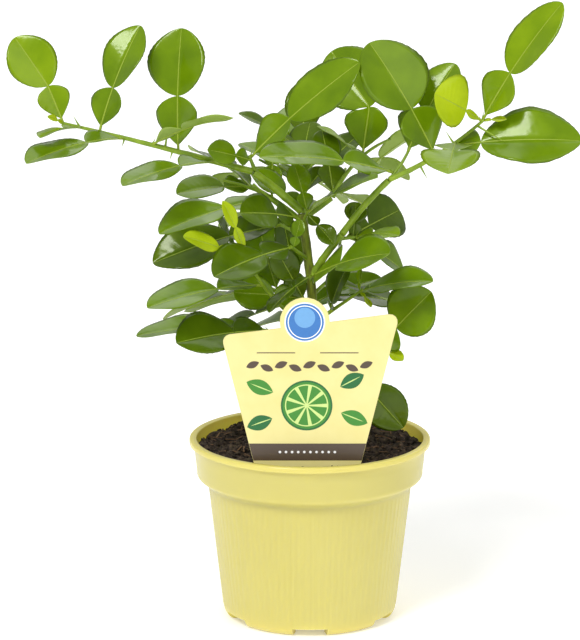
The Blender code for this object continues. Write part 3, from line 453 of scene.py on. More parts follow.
SOIL_WAVES = ((9.0, 0.7), (4.0, 0.5), (2.0, 0.3))      # length and height of the fine waves
WAVES_EACH = 5
SOIL_CLEAR = WALL + GAP        # the soil stops this far inside the pot's outside
SOIL_ROWS = 70
SOIL_COLS = 240
SOIL_AXIS = 0.02


def soil_top(x, y):
    """Height of the fine surface: the mound, with seeded waves of three lump sizes."""
    rng = np.random.default_rng(7)
    z = soil_height(x, y)
    r = np.hypot(x - TRUNK_FOOT[0], y - TRUNK_FOOT[1])
    still = np.clip((r - COLLAR_RADIUS) / 5.0, 0.0, 1.0)
    for size, height in SOIL_WAVES:
        for _ in range(WAVES_EACH):
            a, phase = rng.uniform(0, math.tau, 2)
            far = x * math.cos(a) + y * math.sin(a)
            z = z + still * height * 0.5 * np.sin(math.tau / size * far + phase)
    return z


def soil_points():
    """Rings of the soil from the middle of its underside, up the pot's wall and in over its top."""
    reach = np.concatenate([[SOIL_AXIS], np.linspace(0.6, soil_edge, SOIL_ROWS)])
    around = np.linspace(0, math.tau, SOIL_COLS, endpoint=False)
    r, a = np.meshgrid(reach, around, indexing="ij")
    x, y = r * np.cos(a), r * np.sin(a)
    top = np.stack([x, y, soil_top(x, y)], -1)
    under = FLOOR_TOP + GAP
    wall = [(wall_radius(z) - SOIL_CLEAR, z) for z in (BAND_FOOT_Z, BODY_TOP_Z, under)]
    sides = [np.stack([r * np.cos(around), r * np.sin(around), np.full_like(around, z)], -1)
             for r, z in wall + [(SOIL_AXIS, under)]]
    return np.concatenate([top, sides])[::-1]


soil_edge = wall_radius(SOIL_EDGE) - SOIL_CLEAR
points = soil_points()
# Matte and dark, with browner crumbs: noise picks between four browns, and finer noise dents it.
browns = ((0.34, "201B18"), (0.5, "3E342E"), (0.62, "52463C"), (0.74, "6E5C4C"))
peat = surface("milled_peat_dark", 0.97, 1.5, (3, 6.0), browns, (1.0, 4.0, 0.8, 0.8), Specular_IOR_Level=0.2)
faces = capped(len(points), SOIL_COLS)
mesh_piece("soil_surface", points.reshape(-1, 3), faces, [peat], slot="soil", replaced=["soil"])

# %% Crumbs and fibres
fibre_brown = surface("peat_fibre_brown", 0.9, Base_Color=linear("6E5238"))
CRUMBS = 1500
CRUMB_SIZES = (0.5, 1.9)
FIBRES = 260
FIBRE_HALVES = ((1.2, 4.0), (0.12, 0.45), (0.1, 0.2))      # half length, width and thickness
LUMP = np.array([(1, 0, 0), (0, 1, 0), (-1, 0, 0), (0, -1, 0), (0, 0, 1), (0, 0, -1)], float)
LUMP_FACES = [(0, 1, 4), (1, 2, 4), (2, 3, 4), (3, 0, 4), (1, 0, 5), (2, 1, 5), (3, 2, 5), (0, 3, 5)]
BAR = np.array([(x, y, z) for x in (-1, 1) for y in (-1, 1) for z in (-1, 1)], float)
BAR_FACES = [(0, 1, 3, 2), (4, 6, 7, 5), (0, 4, 5, 1), (2, 3, 7, 6), (0, 2, 6, 4), (1, 5, 7, 3)]


def scatter(rng, count, margin):
    """Seeded points on the soil, off the trunk's collar and the label."""
    spots = []
    while len(spots) < count:
        r = (soil_edge - margin) * math.sqrt(rng.uniform())
        a = rng.uniform(0, math.tau)
        x, y = r * math.cos(a), r * math.sin(a)
        on_label = abs(y - LABEL_Y) < 2.5 and abs(x - LABEL_MIDDLE) < LABEL_FOOT_HALF + 2
        if not on_label and math.hypot(x - TRUNK_FOOT[0], y - TRUNK_FOOT[1]) > COLLAR_RADIUS:
            spots.append((x, y))
    return np.array(spots)


def spun(rng, tilt):
    """Random turn about the upright, after a random tilt of at most so many degrees."""
    a, b = rng.uniform(0, math.tau), math.radians(rng.uniform(-tilt, tilt))
    level = np.array([[math.cos(a), -math.sin(a), 0], [math.sin(a), math.cos(a), 0], [0, 0, 1]])
    tipped = np.array([[math.cos(b), 0, math.sin(b)], [0, 1, 0], [-math.sin(b), 0, math.cos(b)]])
    return level @ tipped


rng = np.random.default_rng(19)
crumbs = Heap()
for x, y in scatter(rng, CRUMBS, 2.5):
    size = rng.uniform(*CRUMB_SIZES) * rng.uniform(0.7, 1.3, (6, 1))
    shape = (LUMP * size * (1.0, 1.0, 0.7)) @ spun(rng, 40).T
    crumbs.add(shape + (x, y, float(soil_top(x, y)) + 0.3), LUMP_FACES)
crumbs.piece("soil_crumbs", [peat], slot="soil", smooth=False)
fibres = Heap()
for x, y in scatter(rng, FIBRES, 6.0):
    half = np.array([rng.uniform(*sizes) for sizes in FIBRE_HALVES])
    fibres.add((BAR * half) @ spun(rng, 14).T + (x, y, float(soil_top(x, y)) + 0.6), BAR_FACES)
fibres.piece("soil_fibres", [fibre_brown], slot="soil", smooth=False)

# %% [markdown]
# ## Plant label
#
# The label is a stamped sheet of polystyrene, printed and pushed into the soil. The plate is
# the solid itself with a better material. Its print is laid on as plates a few hundredths of a
# millimetre thick, because an edge of ink stays sharp that way at any zoom. There are no words:
# a plain disc, two short rules, a garland, a slice of citrus between leaves, and a dotted band.

# %% Label print
LABEL_FRONT = LABEL_Y - 0.5 * LABEL_THICK
INK = 0.06                     # how far the first layer of ink stands proud
INK_SINK = 0.1                 # how far ink reaches into the sheet


def ink(heap, outline, index, lift=1.0):
    """Flat plate of ink on the label's front from an outline of x and height, run anticlockwise.

    lift is its height in layers: a higher plate covers the lower ones.
    """
    outline = np.asarray(outline, float)
    n = len(outline)
    front = np.insert(outline, 1, LABEL_FRONT - INK * lift, 1)
    back = np.insert(outline, 1, LABEL_FRONT + INK_SINK, 1)
    ends = [list(range(n)), list(range(2 * n - 1, n - 1, -1))]
    sides = [(i, n + i, n + (i + 1) % n, (i + 1) % n) for i in range(n)]
    heap.add(np.concatenate([front, back]), ends + sides, index)


def round_outline(cx, cz, radius, start=0, end=360, steps=48):
    """Points of a circle, or of a slice of it that starts at its centre."""
    a = np.radians(np.linspace(start, end, steps + 1))
    points = np.stack([cx + radius * np.cos(a), cz + radius * np.sin(a)], 1)
    return points[:-1] if end - start == 360 else np.concatenate([[(cx, cz)], points])


def leaf_outline(x, z, turn, length, wide):
    """Pointed leaf from its base: width as a sine of the share along it."""
    t = np.linspace(0, 1, 13)
    half = 0.5 * wide * np.sin(math.pi * t) ** 0.8
    lower = np.stack([t * length, -half], 1)
    upper = np.stack([t * length, half], 1)
    points = np.concatenate([lower, upper[-2:0:-1]])
    c, s = math.cos(math.radians(turn)), math.sin(math.radians(turn))
    return points @ np.array([[c, s], [-s, c]]) + (x, z)


def side_x(z, side):
    """x of the label's slanting side at a height, a little way in from the edge."""
    corner = LABEL_LEFT if side < 0 else LABEL_RIGHT
    foot = LABEL_MIDDLE + side * LABEL_FOOT_HALF
    slope = (corner[0] - foot) / (corner[1] - LABEL_FOOT_Z)
    return foot + slope * (z - LABEL_FOOT_Z) - side * INK_INSET


# %% Inks and what is printed
INKS = {"blue": "3A78BE", "white": "FFFFFF", "brown": "54463A", "green": "3F8A2E",
        "dark_green": "1F6A34", "pale_green": "CFE58C", "sky": "6FA8DC"}
BLUE, WHITE, BROWN, GREEN, DARK, PALE, SKY = range(len(INKS))
INK_INSET = 0.1
BAND_LOW = 98.2                # the brown band near the foot of the label
BAND_HIGH = 107.4
BAND_MIDDLE = 0.5 * (BAND_LOW + BAND_HIGH)
RULE_LOW, RULE_HIGH = 156.0, 156.5
RULE_LENGTH = 20
GARLAND_X, GARLAND_Z, GARLAND_STEP = -33.5, 148.5, 7.4
SLICE = (-2.0, 128.0, 13.5)    # citrus slice: x, height, radius
WEDGES = 9
# Rings of the disc: radius, ink, layer.
DISC_RINGS = ((10.6, WHITE, 1.0), (9.9, BLUE, 1.4), (8.9, WHITE, 1.7), (8.4, BLUE, 2.0))
# Leaves round the slice: x, height, turn, length, ink.
PRINTED_LEAVES = ((-19.5, 135, 158, 15, GREEN), (-20, 121, 200, 14, DARK),
                  (15.5, 138, 28, 14, DARK), (16, 124, -22, 15, GREEN))


def print_disc(heap):
    """Rings of the disc on the label's round head, and a lighter spot in the middle."""
    for radius, colour, layer in DISC_RINGS:
        ink(heap, round_outline(*BUMP_CENTRE, radius), colour, layer)
    ink(heap, round_outline(BUMP_CENTRE[0], BUMP_CENTRE[1] + 2.4, 5.4), SKY, 2.3)


def print_band(heap):
    """Brown band with a row of white dots."""
    low = [(side_x(BAND_LOW, side), BAND_LOW) for side in (-1, 1)]
    high = [(side_x(BAND_HIGH, side), BAND_HIGH) for side in (1, -1)]
    ink(heap, low + high, BROWN)
    for x in np.arange(-16.0, 15.0, 3.2):
        ink(heap, round_outline(x, BAND_MIDDLE, 0.7, steps=12), WHITE, 1.4)


def print_garland(heap):
    """Two short rules, and below them nine small leaves in a wavy row."""
    for side, x in ((1, 5.0), (-1, -8.0)):
        end = x + side * RULE_LENGTH
        rule = [(x, RULE_LOW), (end, RULE_LOW), (end, RULE_HIGH), (x, RULE_HIGH)]
        ink(heap, rule[::side], BROWN)
    for k in range(9):
        x, z = GARLAND_X + GARLAND_STEP * k, GARLAND_Z + k % 2
        ink(heap, leaf_outline(x, z, (-1) ** k * 22, 7.2, 3.6), BROWN)


def print_slice(heap):
    """Slice of citrus: rind, pith and wedges, with four leaves round it."""
    cx, cz, radius = SLICE
    for share, colour, layer in ((1.0, DARK, 1.0), (0.93, GREEN, 1.3), (0.84, PALE, 1.6)):
        ink(heap, round_outline(cx, cz, radius * share), colour, layer)
    wedge = 360 / WEDGES
    for k in range(WEDGES):
        middle = math.radians((k + 0.5) * wedge)
        x, z = cx + math.cos(middle), cz + math.sin(middle)
        outline = round_outline(x, z, radius * 0.72, k * wedge + 4, (k + 1) * wedge - 4, 8)
        ink(heap, outline, GREEN, 2.0)
    for x, z, turn, length, colour in PRINTED_LEAVES:
        ink(heap, leaf_outline(x, z, turn, length, 8), colour)
        ink(heap, leaf_outline(x, z, turn, 0.85 * length, 0.6), PALE, 1.4)


ink_materials = []
for name, hexed in INKS.items():
    made = surface("printing_ink_" + name, 0.32)
    tree = made.node_tree
    # Ink lies a little unevenly on a plastic sheet, so its brightness varies by a few hundredths.
    mottle = add_node(tree, "ShaderNodeMapRange", Value=noise(tree, 1.2, 2.0), To_Min=0.94, To_Max=1.06)
    mixed = add_node(tree, "ShaderNodeHueSaturation", Color=linear(hexed), Value=mottle.outputs["Result"])
    tree.links.new(mixed.outputs["Color"], tree.nodes["Principled BSDF"].inputs["Base Color"])
    ink_materials.append(made)

printed = Heap()
print_disc(printed)
print_band(printed)
print_garland(printed)
print_slice(printed)
printed.piece("label_print", ink_materials, slot="label", smooth=False)

# %% Label sheet
# Offset print leaves the tint faintly uneven, and a thin sheet is never quite flat.
label_plastic = surface("printed_polystyrene_pale_yellow", 0.38, 1.59,
                        (14, 4.0), ((0.35, "E8DC8E"), (0.65, "ECE198")), (9, 1.0, 0.1, 0.5))
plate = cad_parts["plant_label"]
plate.data.materials.clear()
plate.data.materials.append(label_plastic)
print("label sheet:", len(plate.data.polygons), "faces")

# %% [markdown]
# ## The plant's plan
#
# Trunk and boughs are a short table of limbs, each hung on another by a place, a turn and a
# rise. The masses of foliage are tables too where the photo shows their leaves, and a seeded
# rule with the golden angle where it hides them. It is the plan the solids were grown from, so
# the fine leaves below land where the solids' leaves are. Two leaves are nearer to the photo
# here than in the solids: the large one at the far right, and the lowest one on the right.

# %% Leaf rows
def leaf(along, turn, rise, length, roll=0, wide=0.66, swing=0, wing=0.40, wing_wide=0.68):
    """One leaf: its place along the stem, heading, length and roll about its midrib.

    wide is the blade's width by its length, swing the turn of the blade at the joint, wing the
    share of the leaf up to the joint, and wing_wide the wing's width by the blade's.
    """
    return along, turn, rise, length, roll, wide, swing, wing, wing_wide


def seen(stem, shades, leaves, thorns=()):
    """A mass that the photo shows."""
    return {"stem": stem, "shades": shades, "leaves": [leaf(*row) for row in leaves], "thorns": thorns}


def grown(stem, twigs, seed, space):
    """A mass that grows by rule."""
    return {"stem": stem, "shades": BACK_SHADES, "twigs": twigs, "seed": seed, "space": space, "thorns": ()}


# %% Masses seen in the photo
# Each mass: its stem, written as a limb is, the colour of each leaf, the leaves, and the thorns.
# A thorn is its place along the stem, turn, rise and length.
MASSES = {
    "foliage_left": seen(
        ("bough_left", 1.0, 190, 16, 105, 0.5, 0.0, 2.0, 0.8),
        "mid mid bright mid mid bright bright young",
        [(0.19, 204, -4, 66, -10, 0.58), (0.39, 82, 79, 65, -12, 0.92, 0, 0.45, 0.74),
         (0.53, 327, 20, 55, -15, 0.58), (0.67, 203, -5, 66, -10, 0.60),
         (0.80, 36, 64, 60, 18, 0.70, 0, 0.40, 0.85), (0.89, 236, -1, 35, 5, 0.75),
         (0.99, 146, 61, 52, -42, 0.86, 10), (1.00, 220, 24, 11, -60, 0.60)],
        [(0.46, 60, 72, 14), (0.42, 250, -50, 6), (0.67, 240, -60, 5), (0.90, 160, 55, 7)]),
    "foliage_upper_left": seen(
        ("bough_left", 0.93, 213, 65, 12, 0.0, 0.0, 1.2, 0.9),
        "mid mid",
        [(0.75, 218, 17, 30, -68, 0.80), (0.95, 348, 42, 79, 60, 0.60)]),
    "foliage_top": seen(
        ("bough_centre", 1.0, 31, 38, 46, 5.0, 0.0, 1.4, 0.7),
        "deep bright mid",
        [(0.02, 92, 52, 40, 0, 0.80, 0, 0.46, 0.90), (0.57, 156, 31, 30, 5, 0.50),
         (0.60, 62, 68, 66, 10, 0.92, 44)]),
    "foliage_top_back": seen(
        ("trunk", 0.92, 95, 60, 48, -3.0, 0.0, 1.3, 0.7),
        "deep mid deep",
        [(0.65, 100, 49, 38, -10, 0.90), (0.25, 158, 34, 36, -20, 0.86),
         (1.00, 197, 32, 41, -20, 0.50)]),
    "foliage_right": seen(
        ("bough_right_upper", 1.0, 347, 34, 60, -2.5, 0.0, 1.6, 0.8),
        "mid mid bright young bright young",
        [(0.46, 157, 57, 69, -38, 1.00), (0.62, 350, 4, 69, 45, 0.68, 0, 0.24, 0.50),
         (0.68, 262, -12, 44, 0, 1.20), (0.99, 207, 30, 33, -70, 1.50, 0, 0.38, 0.16),
         (1.00, 352, 57, 75, 55, 0.58, 0, 0.40, 0.85), (0.99, 352, 6, 13, 30, 0.60)],
        [(0.92, 335, -28, 18), (0.66, 150, 50, 8), (0.30, 310, -50, 9)]),
    "foliage_right_upper": seen(
        ("bough_right_upper", 0.97, 26, 54, 26, -1.5, 0.0, 1.1, 0.7),
        "mid mid",
        [(0.24, 196, 10, 78, -25, 0.62), (0.72, 15, 58, 54, 30, 0.84, 0, 0.44, 1.05)]),
    "foliage_inner_left": seen(
        ("trunk", 0.965, 206, 38, 37, -1.0, 0.0, 1.1, 0.7),
        "deep mid",
        [(0.13, 226, 11, 43, -55, 0.86), (0.65, 215, -11, 67, -15, 0.70)]),
    "foliage_back_left_high": seen(
        ("trunk", 0.90, 160, 22, 16, 0.0, 0.0, 1.2, 0.9),
        "deep",
        [(0.97, 189, -15, 72, -35, 0.72)]),
    "foliage_centre_left": seen(
        ("trunk", 0.80, 235, 31, 19, 0.0, 0.0, 1.2, 0.8),
        "deep mid",
        [(0.95, 216, -6, 61, -30, 0.72), (0.84, 48, 73, 16, 40, 0.90)]),
    "foliage_fork": seen(
        ("trunk", 0.96, 293, 50, 10, 0.0, 0.0, 1.1, 0.9),
        "mid deep mid mid",
        [(1.00, 338, 27, 55, 20, 0.62), (0.74, 325, -39, 23, 35, 0.80), (0.95, 120, 60, 28, -10, 0.85),
         (0.94, 60, 16, 16, 20, 0.90)]),
    "foliage_young_shoot": seen(
        ("trunk", 0.50, 220, 45, 68, -6.0, 0.0, 1.3, 0.7),
        "mid young young",
        [(0.66, 206, -5, 67, -15, 0.68), (0.90, 210, 29, 43, -50, 0.60, 0, 0.50, 0.55),
         (1.00, 214, 67, 31, -75, 0.50, 0, 0.50, 0.80)],
        [(0.93, 30, 50, 6)]),
    "foliage_low_left": seen(
        ("trunk", 0.44, 212, 17, 35, 0.0, 0.0, 1.3, 0.9),
        "mid deep",
        [(1.00, 183, -2, 68, -15, 0.60), (0.85, 207, -4, 58, -35, 0.86)]),
    "foliage_low_centre": seen(
        ("trunk", 0.60, 195, 30, 10, 0.0, 0.0, 1.2, 0.9),
        "deep mid",
        [(0.55, 189, 62, 33, -88, 0.85), (0.78, 174, 5, 36, -60, 0.95)]),
    "foliage_front": seen(
        ("trunk", 0.70, 277, 35, 11, 0.0, 0.0, 1.1, 0.9),
        "mid deep",
        [(0.71, 320, 20, 61, 35, 0.80, 0, 0.40, 1.10), (0.82, 232, -20, 40, 5, 0.52)]),
    "foliage_mid_right": seen(
        ("bough_right", 0.88, 10, 5, 11, 0.0, 0.0, 1.1, 0.9),
        "deep bright deep mid",
        [(0.15, 33, 13, 43, 58, 1.05, 0, 0.40, 1.00), (0.98, 312, 10, 34, 20, 0.72),
         (0.72, 79, 50, 20, 10, 1.10), (0.55, 33, -32, 42, 45, 0.86)],
        [(0.95, 320, -30, 8)]),
    "foliage_low_right": seen(
        ("trunk", 0.52, 333, 36, 35, 0.0, 0.0, 1.3, 0.7),
        "mid deep bright young",
        [(1.00, 333, 13, 44, 25, 0.60, 0, 0.14, 0.40), (0.34, 8, 58, 31, 35, 0.88, 0, 0.16, 0.50),
         (1.00, 54, 85, 13, -10, 0.55), (0.96, 307, -34, 12, 5, 0.55)]),
    "foliage_foot_right": seen(
        ("trunk", 0.33, 347, 17, 40, 0.0, 0.0, 1.2, 0.8),
        "mid young deep",
        [(0.86, 338, 48, 47, 82, 1.10), (0.99, 318, -16, 15, 35, 0.80), (0.37, 350, -47, 50, 72, 0.80)]),
}

# %% Masses grown by rule
# Each mass behind: its stem, the places of its side twigs, its seed, and the ellipsoid that it
# keeps to, as centre and half sizes. Their leaves take these colours in turn.
BACK_SHADES = "deep mid mid deep bright"
GROWN = {
    "foliage_back": grown(
        ("bough_back", 1.0, 92, 14, 58, 3.0, 0.0, 1.4, 0.8),
        (0.35, 0.65), 3, ((-4, 76, 226), (74, 76, 60))),
    "foliage_back_left": grown(
        ("bough_back", 0.70, 150, 26, 46, 2.0, 0.0, 1.3, 0.8),
        (0.55,), 5, ((-46, 48, 222), (60, 56, 56))),
    "foliage_back_right": grown(
        ("bough_back", 0.90, 35, 20, 44, 2.0, 0.0, 1.3, 0.8),
        (0.55,), 8, ((42, 50, 226), (52, 58, 58))),
    "foliage_back_low": grown(
        ("trunk", 0.42, 98, 20, 44, 2.0, 0.0, 1.3, 0.8),
        (0.50, 0.80), 12, ((-2, 56, 168), (70, 72, 48))),
    "foliage_back_low_left": grown(
        ("trunk", 0.56, 150, 22, 34, 1.0, 0.0, 1.2, 0.8),
        (0.60,), 15, ((-46, 36, 182), (64, 54, 46))),
    "foliage_back_low_right": grown(
        ("trunk", 0.64, 40, 26, 32, 1.0, 0.0, 1.2, 0.8),
        (0.60,), 21, ((42, 38, 188), (54, 56, 48))),
}


# %% Vector helpers
def heading(turn, rise):
    """Unit vector of a turn and a rise."""
    a = math.radians(turn)
    b = math.radians(rise)
    return np.array([math.cos(b) * math.cos(a), math.cos(b) * math.sin(a), math.sin(b)])


def sideways(turn):
    """Level unit vector to the left of a turn."""
    a = math.radians(turn)
    return np.array([-math.sin(a), math.cos(a), 0.0])


def limb_path(start, turn, rise, length, lift, sway, steps):
    """Points of a limb: a straight reach bowed by a parabola, upwards and to its left."""
    t = np.linspace(0.0, 1.0, steps + 1)[:, None]
    forward = heading(turn, rise)
    left = sideways(turn)
    bow = 4.0 * t * (1.0 - t)
    return start + length * t * forward + bow * (lift * np.cross(forward, left) + sway * left)


def path_point(path, along):
    """Point and direction at a share of a path's length."""
    place = along * (len(path) - 1)
    i = min(int(place), len(path) - 2)
    step = path[i + 1] - path[i]
    return path[i] + step * (place - i), step / np.linalg.norm(step)


# %% [markdown]
# ## A leaf
#
# One formula makes every leaf. Its midrib is an arc, its two halves rise from the midrib like
# an open book, and its half width is a sine raised to a power, once for the wing and once for
# the blade. The plan needs only a coarse leaf, to feel whether there is room for it.

# %% Leaf surface
def half_width(s, length, wide, wing, wing_wide):
    """Half the width of the leaf at a share s of its length: stalk, wing, joint and blade."""
    blade = 0.5 * wide * length * (1.0 - wing)
    t_wing = np.clip((s - STALK) / (wing - STALK), 0.0, 1.0)
    t_blade = np.clip((s - wing) / (1.0 - wing), 0.0, 1.0)
    near = wing_wide * blade * np.sin(math.pi * t_wing ** 1.5) ** 0.62
    far = blade * np.abs(np.sin(math.pi * t_blade ** 0.95)) ** 0.58
    least = np.where(s < wing - 0.01, STALK_HALF, JOINT_HALF) * min(1.0, length / 30.0)
    least = least * (s < 0.7)
    return np.maximum(np.where(s <= wing, near, far), least)


def leaf_shares(wing, wing_steps, blade_steps):
    """Shares of the length where a leaf is cut across: the stalk, the wing, the blade."""
    wing_part = STALK + (wing - STALK) * np.array(wing_steps)
    blade_part = wing + (1.0 - wing) * np.array(blade_steps)
    return np.concatenate([[0.0], wing_part, blade_part])


def leaf_surface(base, row, s, v):
    """Middle surface of a leaf: points at shares s of its length and v across, and its normal.

    The midrib turns evenly by LEAF_ARCH from base to tip, the two halves rise from it by
    LEAF_FOLD, and the blade turns at the joint.
    """
    turn, rise, length, roll, wide, swing, wing, wing_wide = row
    forward = heading(turn, rise)
    left = sideways(turn)
    upward = np.cross(forward, left)
    c = math.cos(math.radians(roll))
    k = math.sin(math.radians(roll))
    left, upward = left * c + upward * k, upward * c - left * k
    fine = np.linspace(0.0, 1.0, 101)
    pitch = np.radians(LEAF_ARCH) * (fine - 0.5)
    yaw = np.radians(swing) * np.clip((fine - wing + 0.04) / 0.08, 0.0, 1.0)
    steps = np.stack([np.cos(pitch) * np.cos(yaw), np.cos(pitch) * np.sin(yaw), np.sin(pitch)], 1)
    middle = np.concatenate([np.zeros((1, 3)), np.cumsum(0.5 * (steps[1:] + steps[:-1]), 0) * 0.01])
    rib = np.stack([np.interp(s, fine, middle[:, i]) for i in range(3)], 1) * length
    yaw = np.interp(s, fine, yaw)
    pitch = np.interp(s, fine, pitch)
    across = np.stack([-np.sin(yaw), np.cos(yaw), np.zeros_like(yaw)], 1)
    normal = np.stack([-np.sin(pitch) * np.cos(yaw), -np.sin(pitch) * np.sin(yaw), np.cos(pitch)], 1)
    w = half_width(s, length, wide, wing, wing_wide)
    fold = math.radians(LEAF_FOLD)
    flat = (w[:, None] * v[None, :] * math.cos(fold))[:, :, None] * across[:, None, :]
    lift = (w[:, None] * np.abs(v)[None, :] * math.sin(fold))[:, :, None] * normal[:, None, :]
    local = rib[:, None, :] + flat + lift
    axes = np.stack([forward, left, upward])
    return base + local @ axes, normal @ axes


def leaf_mesh(base, row, swell=1.0):
    """Closed thin leaf: sharp at its edges, thickest at the midrib, pointed at its tip."""
    s = leaf_shares(row[6], WING_STEPS, BLADE_STEPS)
    points, normal = leaf_surface(base, row, s, np.array([-1.0, 0.0, 1.0]))
    body = np.maximum(np.full_like(s, 0.5 * LEAF_THICK * row[2]), 0.45 * (s <= STALK)) * swell
    over = points[:, 1] + normal * body[:, None]
    under = points[:, 1] - normal * body[:, None]
    last = len(s) - 1
    verts = [p for i in range(last) for p in (points[i, 0], over[i], points[i, 2], under[i])]
    faces = []
    for a in range(0, 4 * (last - 1), 4):
        for j in range(4):
            k = (j + 1) % 4
            faces += [(a + j, a + k, a + 4 + k), (a + j, a + 4 + k, a + 4 + j)]
    a = 4 * (last - 1)
    faces += [(a + j, a + (j + 1) % 4, a + 4) for j in range(4)] + [(0, 3, 2, 1)]
    return np.array(verts + [points[last, 1]]), faces


# %% [markdown]
# ## Stems
#
# A stem is a ring of points carried along a path. Where it starts on the side of another limb
# its first ring slides along it until it lies on that limb's round surface.

# %% Tubes
def tube_mesh(path, radii, sides, clear=None):
    """Closed tapering tube along a path.

    clear is (point, direction, radius) of a round carrier that the tube starts on: the first
    ring is slid along the tube until it lies on that cylinder, so the foot fits the carrier.
    """
    tangents = np.gradient(path, axis=0)
    tangents /= np.linalg.norm(tangents, axis=1)[:, None]
    helper = np.array([0.0, 0.0, 1.0]) if abs(tangents[0][2]) < 0.9 else np.array([1.0, 0.0, 0.0])
    verts = []
    angle = np.linspace(0.0, 2.0 * math.pi, sides, endpoint=False)
    for point, tangent, radius in zip(path, tangents, radii):
        x = np.cross(helper, tangent)
        x /= np.linalg.norm(x)
        y = np.cross(tangent, x)
        helper = np.cross(tangent, x)
        helper = helper if abs(helper @ tangent) < 0.9 else x
        verts += [point + radius * (math.cos(a) * x + math.sin(a) * y) for a in angle]
    foot = path[0]
    if clear:
        place, axis, radius = clear
        line = tangents[0]
        slide = []
        for p in verts[:sides] + [foot]:
            q = p - place
            q = q - axis * (q @ axis)
            e = line - axis * (line @ axis)
            a, b, c = e @ e, q @ e, q @ q - radius * radius
            slide.append((-b + math.sqrt(max(b * b - a * c, 0.0))) / a)
        for j in range(sides):
            verts[j] = verts[j] + line * slide[j]
        foot = foot + line * slide[-1]
    faces = grid_faces(len(path), sides)
    low = len(verts)
    verts += [foot, path[-1]]
    for j in range(sides):
        k = (j + 1) % sides
        faces += [(low, k, j), (low + 1, low - sides + j, low - sides + k)]
    return np.array(verts), faces


# %% Paths of the limbs
def limb_radius(limb, along):
    """Radius of a limb or stem at a share of its length."""
    return limb[7] + (limb[8] - limb[7]) * along


def plan_limbs():
    """Path of each limb and stem, with the round carrier that its foot must clear."""
    stems = dict(LIMBS)
    stems.update({name: mass["stem"] for name, mass in {**MASSES, **GROWN}.items()})
    paths = {}
    clears = {}
    for name, stem in stems.items():
        carrier, along, *course, start_radius, _ = stem
        steps = max(1, round(stem[4] / 9.0))
        if carrier is None:
            foot = np.array([*TRUNK_FOOT, SOIL_EDGE + SOIL_MOUND + GAP])
            paths[name] = limb_path(foot, *course, steps)
            clears[name] = None
            continue
        point, direction = path_point(paths[carrier], along)
        path = limb_path(point, *course, steps)
        clears[name] = (point, direction, limb_radius(stems[carrier], along) + GAP)
        if along == 1.0:
            _, forward = path_point(path, 0.0)
            tilt = math.acos(min(1.0, direction @ forward))
            path = path + direction * (GAP + start_radius * math.sin(tilt))
            clears[name] = None
        paths[name] = path
    return paths, clears


# %% [markdown]
# ## Growing and settling
#
# Leaves stand a golden angle apart round a twig, so that none shades the one below it. Before a
# leaf is kept it is held against everything that stands already. If it touches, it is turned
# aside by small steps, and if no step clears it, it is left out.

# %% Seeded rule
def bearing(direction):
    """Turn and rise of a direction."""
    x, y, z = direction / np.linalg.norm(direction)
    return math.degrees(math.atan2(y, x)), math.degrees(math.asin(z))


def spray_rows(path, first, spread, phase, rng):
    """Leaf rows along one twig, each a golden angle further round it than the last."""
    length = np.linalg.norm(path[-1] - path[0])
    rows = []
    count = max(1, int((length - first) / NODE_SPACING) + 1)
    for i in range(count):
        along = min(1.0, (first + i * NODE_SPACING) / length)
        _, forward = path_point(path, along)
        side = np.cross(forward, [0.0, 0.0, 1.0])
        side /= np.linalg.norm(side)
        over = np.cross(side, forward)
        a = math.radians(phase + GOLDEN_ANGLE * i)
        out = math.cos(a) * side + math.sin(a) * over
        lean = math.radians(spread if along < 1.0 else 12.0)
        turn, rise = bearing(math.cos(lean) * forward + math.sin(lean) * out + [0.0, 0.0, 0.12])
        size = rng.uniform(*LEAF_SIZES)
        rows.append(leaf(along, turn, rise, size, rng.uniform(-28, 28), rng.uniform(0.62, 0.86)))
    return rows


def grow_mass(mass, path):
    """Side twigs of a seeded mass, and the leaf rows of its stem and of each twig."""
    rng = np.random.default_rng(mass["seed"])
    phase = rng.uniform(0, 360)
    twigs = []
    sprays = [(path, spray_rows(path, NODE_SPACING, 58, phase, rng))]
    for i, along in enumerate(mass["twigs"]):
        point, forward = path_point(path, along)
        side = np.cross(forward, [0.0, 0.0, 1.0]) * (1 if i % 2 else -1)
        out = side * rng.uniform(0.9, 1.2)
        turn, rise = bearing(forward + out + [0.0, 0.0, rng.uniform(0.0, 0.35)])
        length = rng.uniform(*TWIG_SIZES)
        twig = limb_path(point, turn, rise, length, 1.0, 0.0, TWIG_STEPS)
        twigs.append(twig)
        sprays.append((twig, spray_rows(twig, 11, 52, rng.uniform(0, 360), rng)))
    return twigs, sprays


# %% Room for each leaf
def bvh(verts, faces):
    """Search tree of a mesh with its box."""
    tree = BVHTree.FromPolygons([Vector(v) for v in verts], faces)
    return tree, verts.min(0), verts.max(0)


def touches(body, others):
    """Whether a mesh crosses any of the others."""
    tree, low, high = body
    for other, other_low, other_high in others:
        if np.all(low <= other_high) and np.all(high >= other_low) and tree.overlap(other):
            return True
    return False


def inside(verts, space):
    """Whether all points lie in an ellipsoid, given as its centre and its three half sizes."""
    centre, half = np.array(space[0]), np.array(space[1])
    return bool(np.all((((verts - centre) / half) ** 2).sum(1) <= 1.0))


def settle(base, row, own, others, space=None):
    """The leaf row, turned aside by the first nudge that leaves it clear, or None.

    A thicker leaf stands in for it, so a clearance stays. Its stalk may meet its own stem, so
    only the part beyond the stalk is held against its own mass.
    """
    for turn, rise, roll in NUDGES:
        moved = (row[0] + turn, row[1] + rise, row[2], row[3] + roll) + tuple(row[4:])
        verts, faces = leaf_mesh(base, moved, TEST_THICK)
        if space and not inside(verts, space):
            continue
        if touches(bvh(verts, faces), others):
            continue
        beyond = [face for face in faces if min(face) >= 8]
        if not touches(bvh(verts, beyond), own):
            return moved
    return None


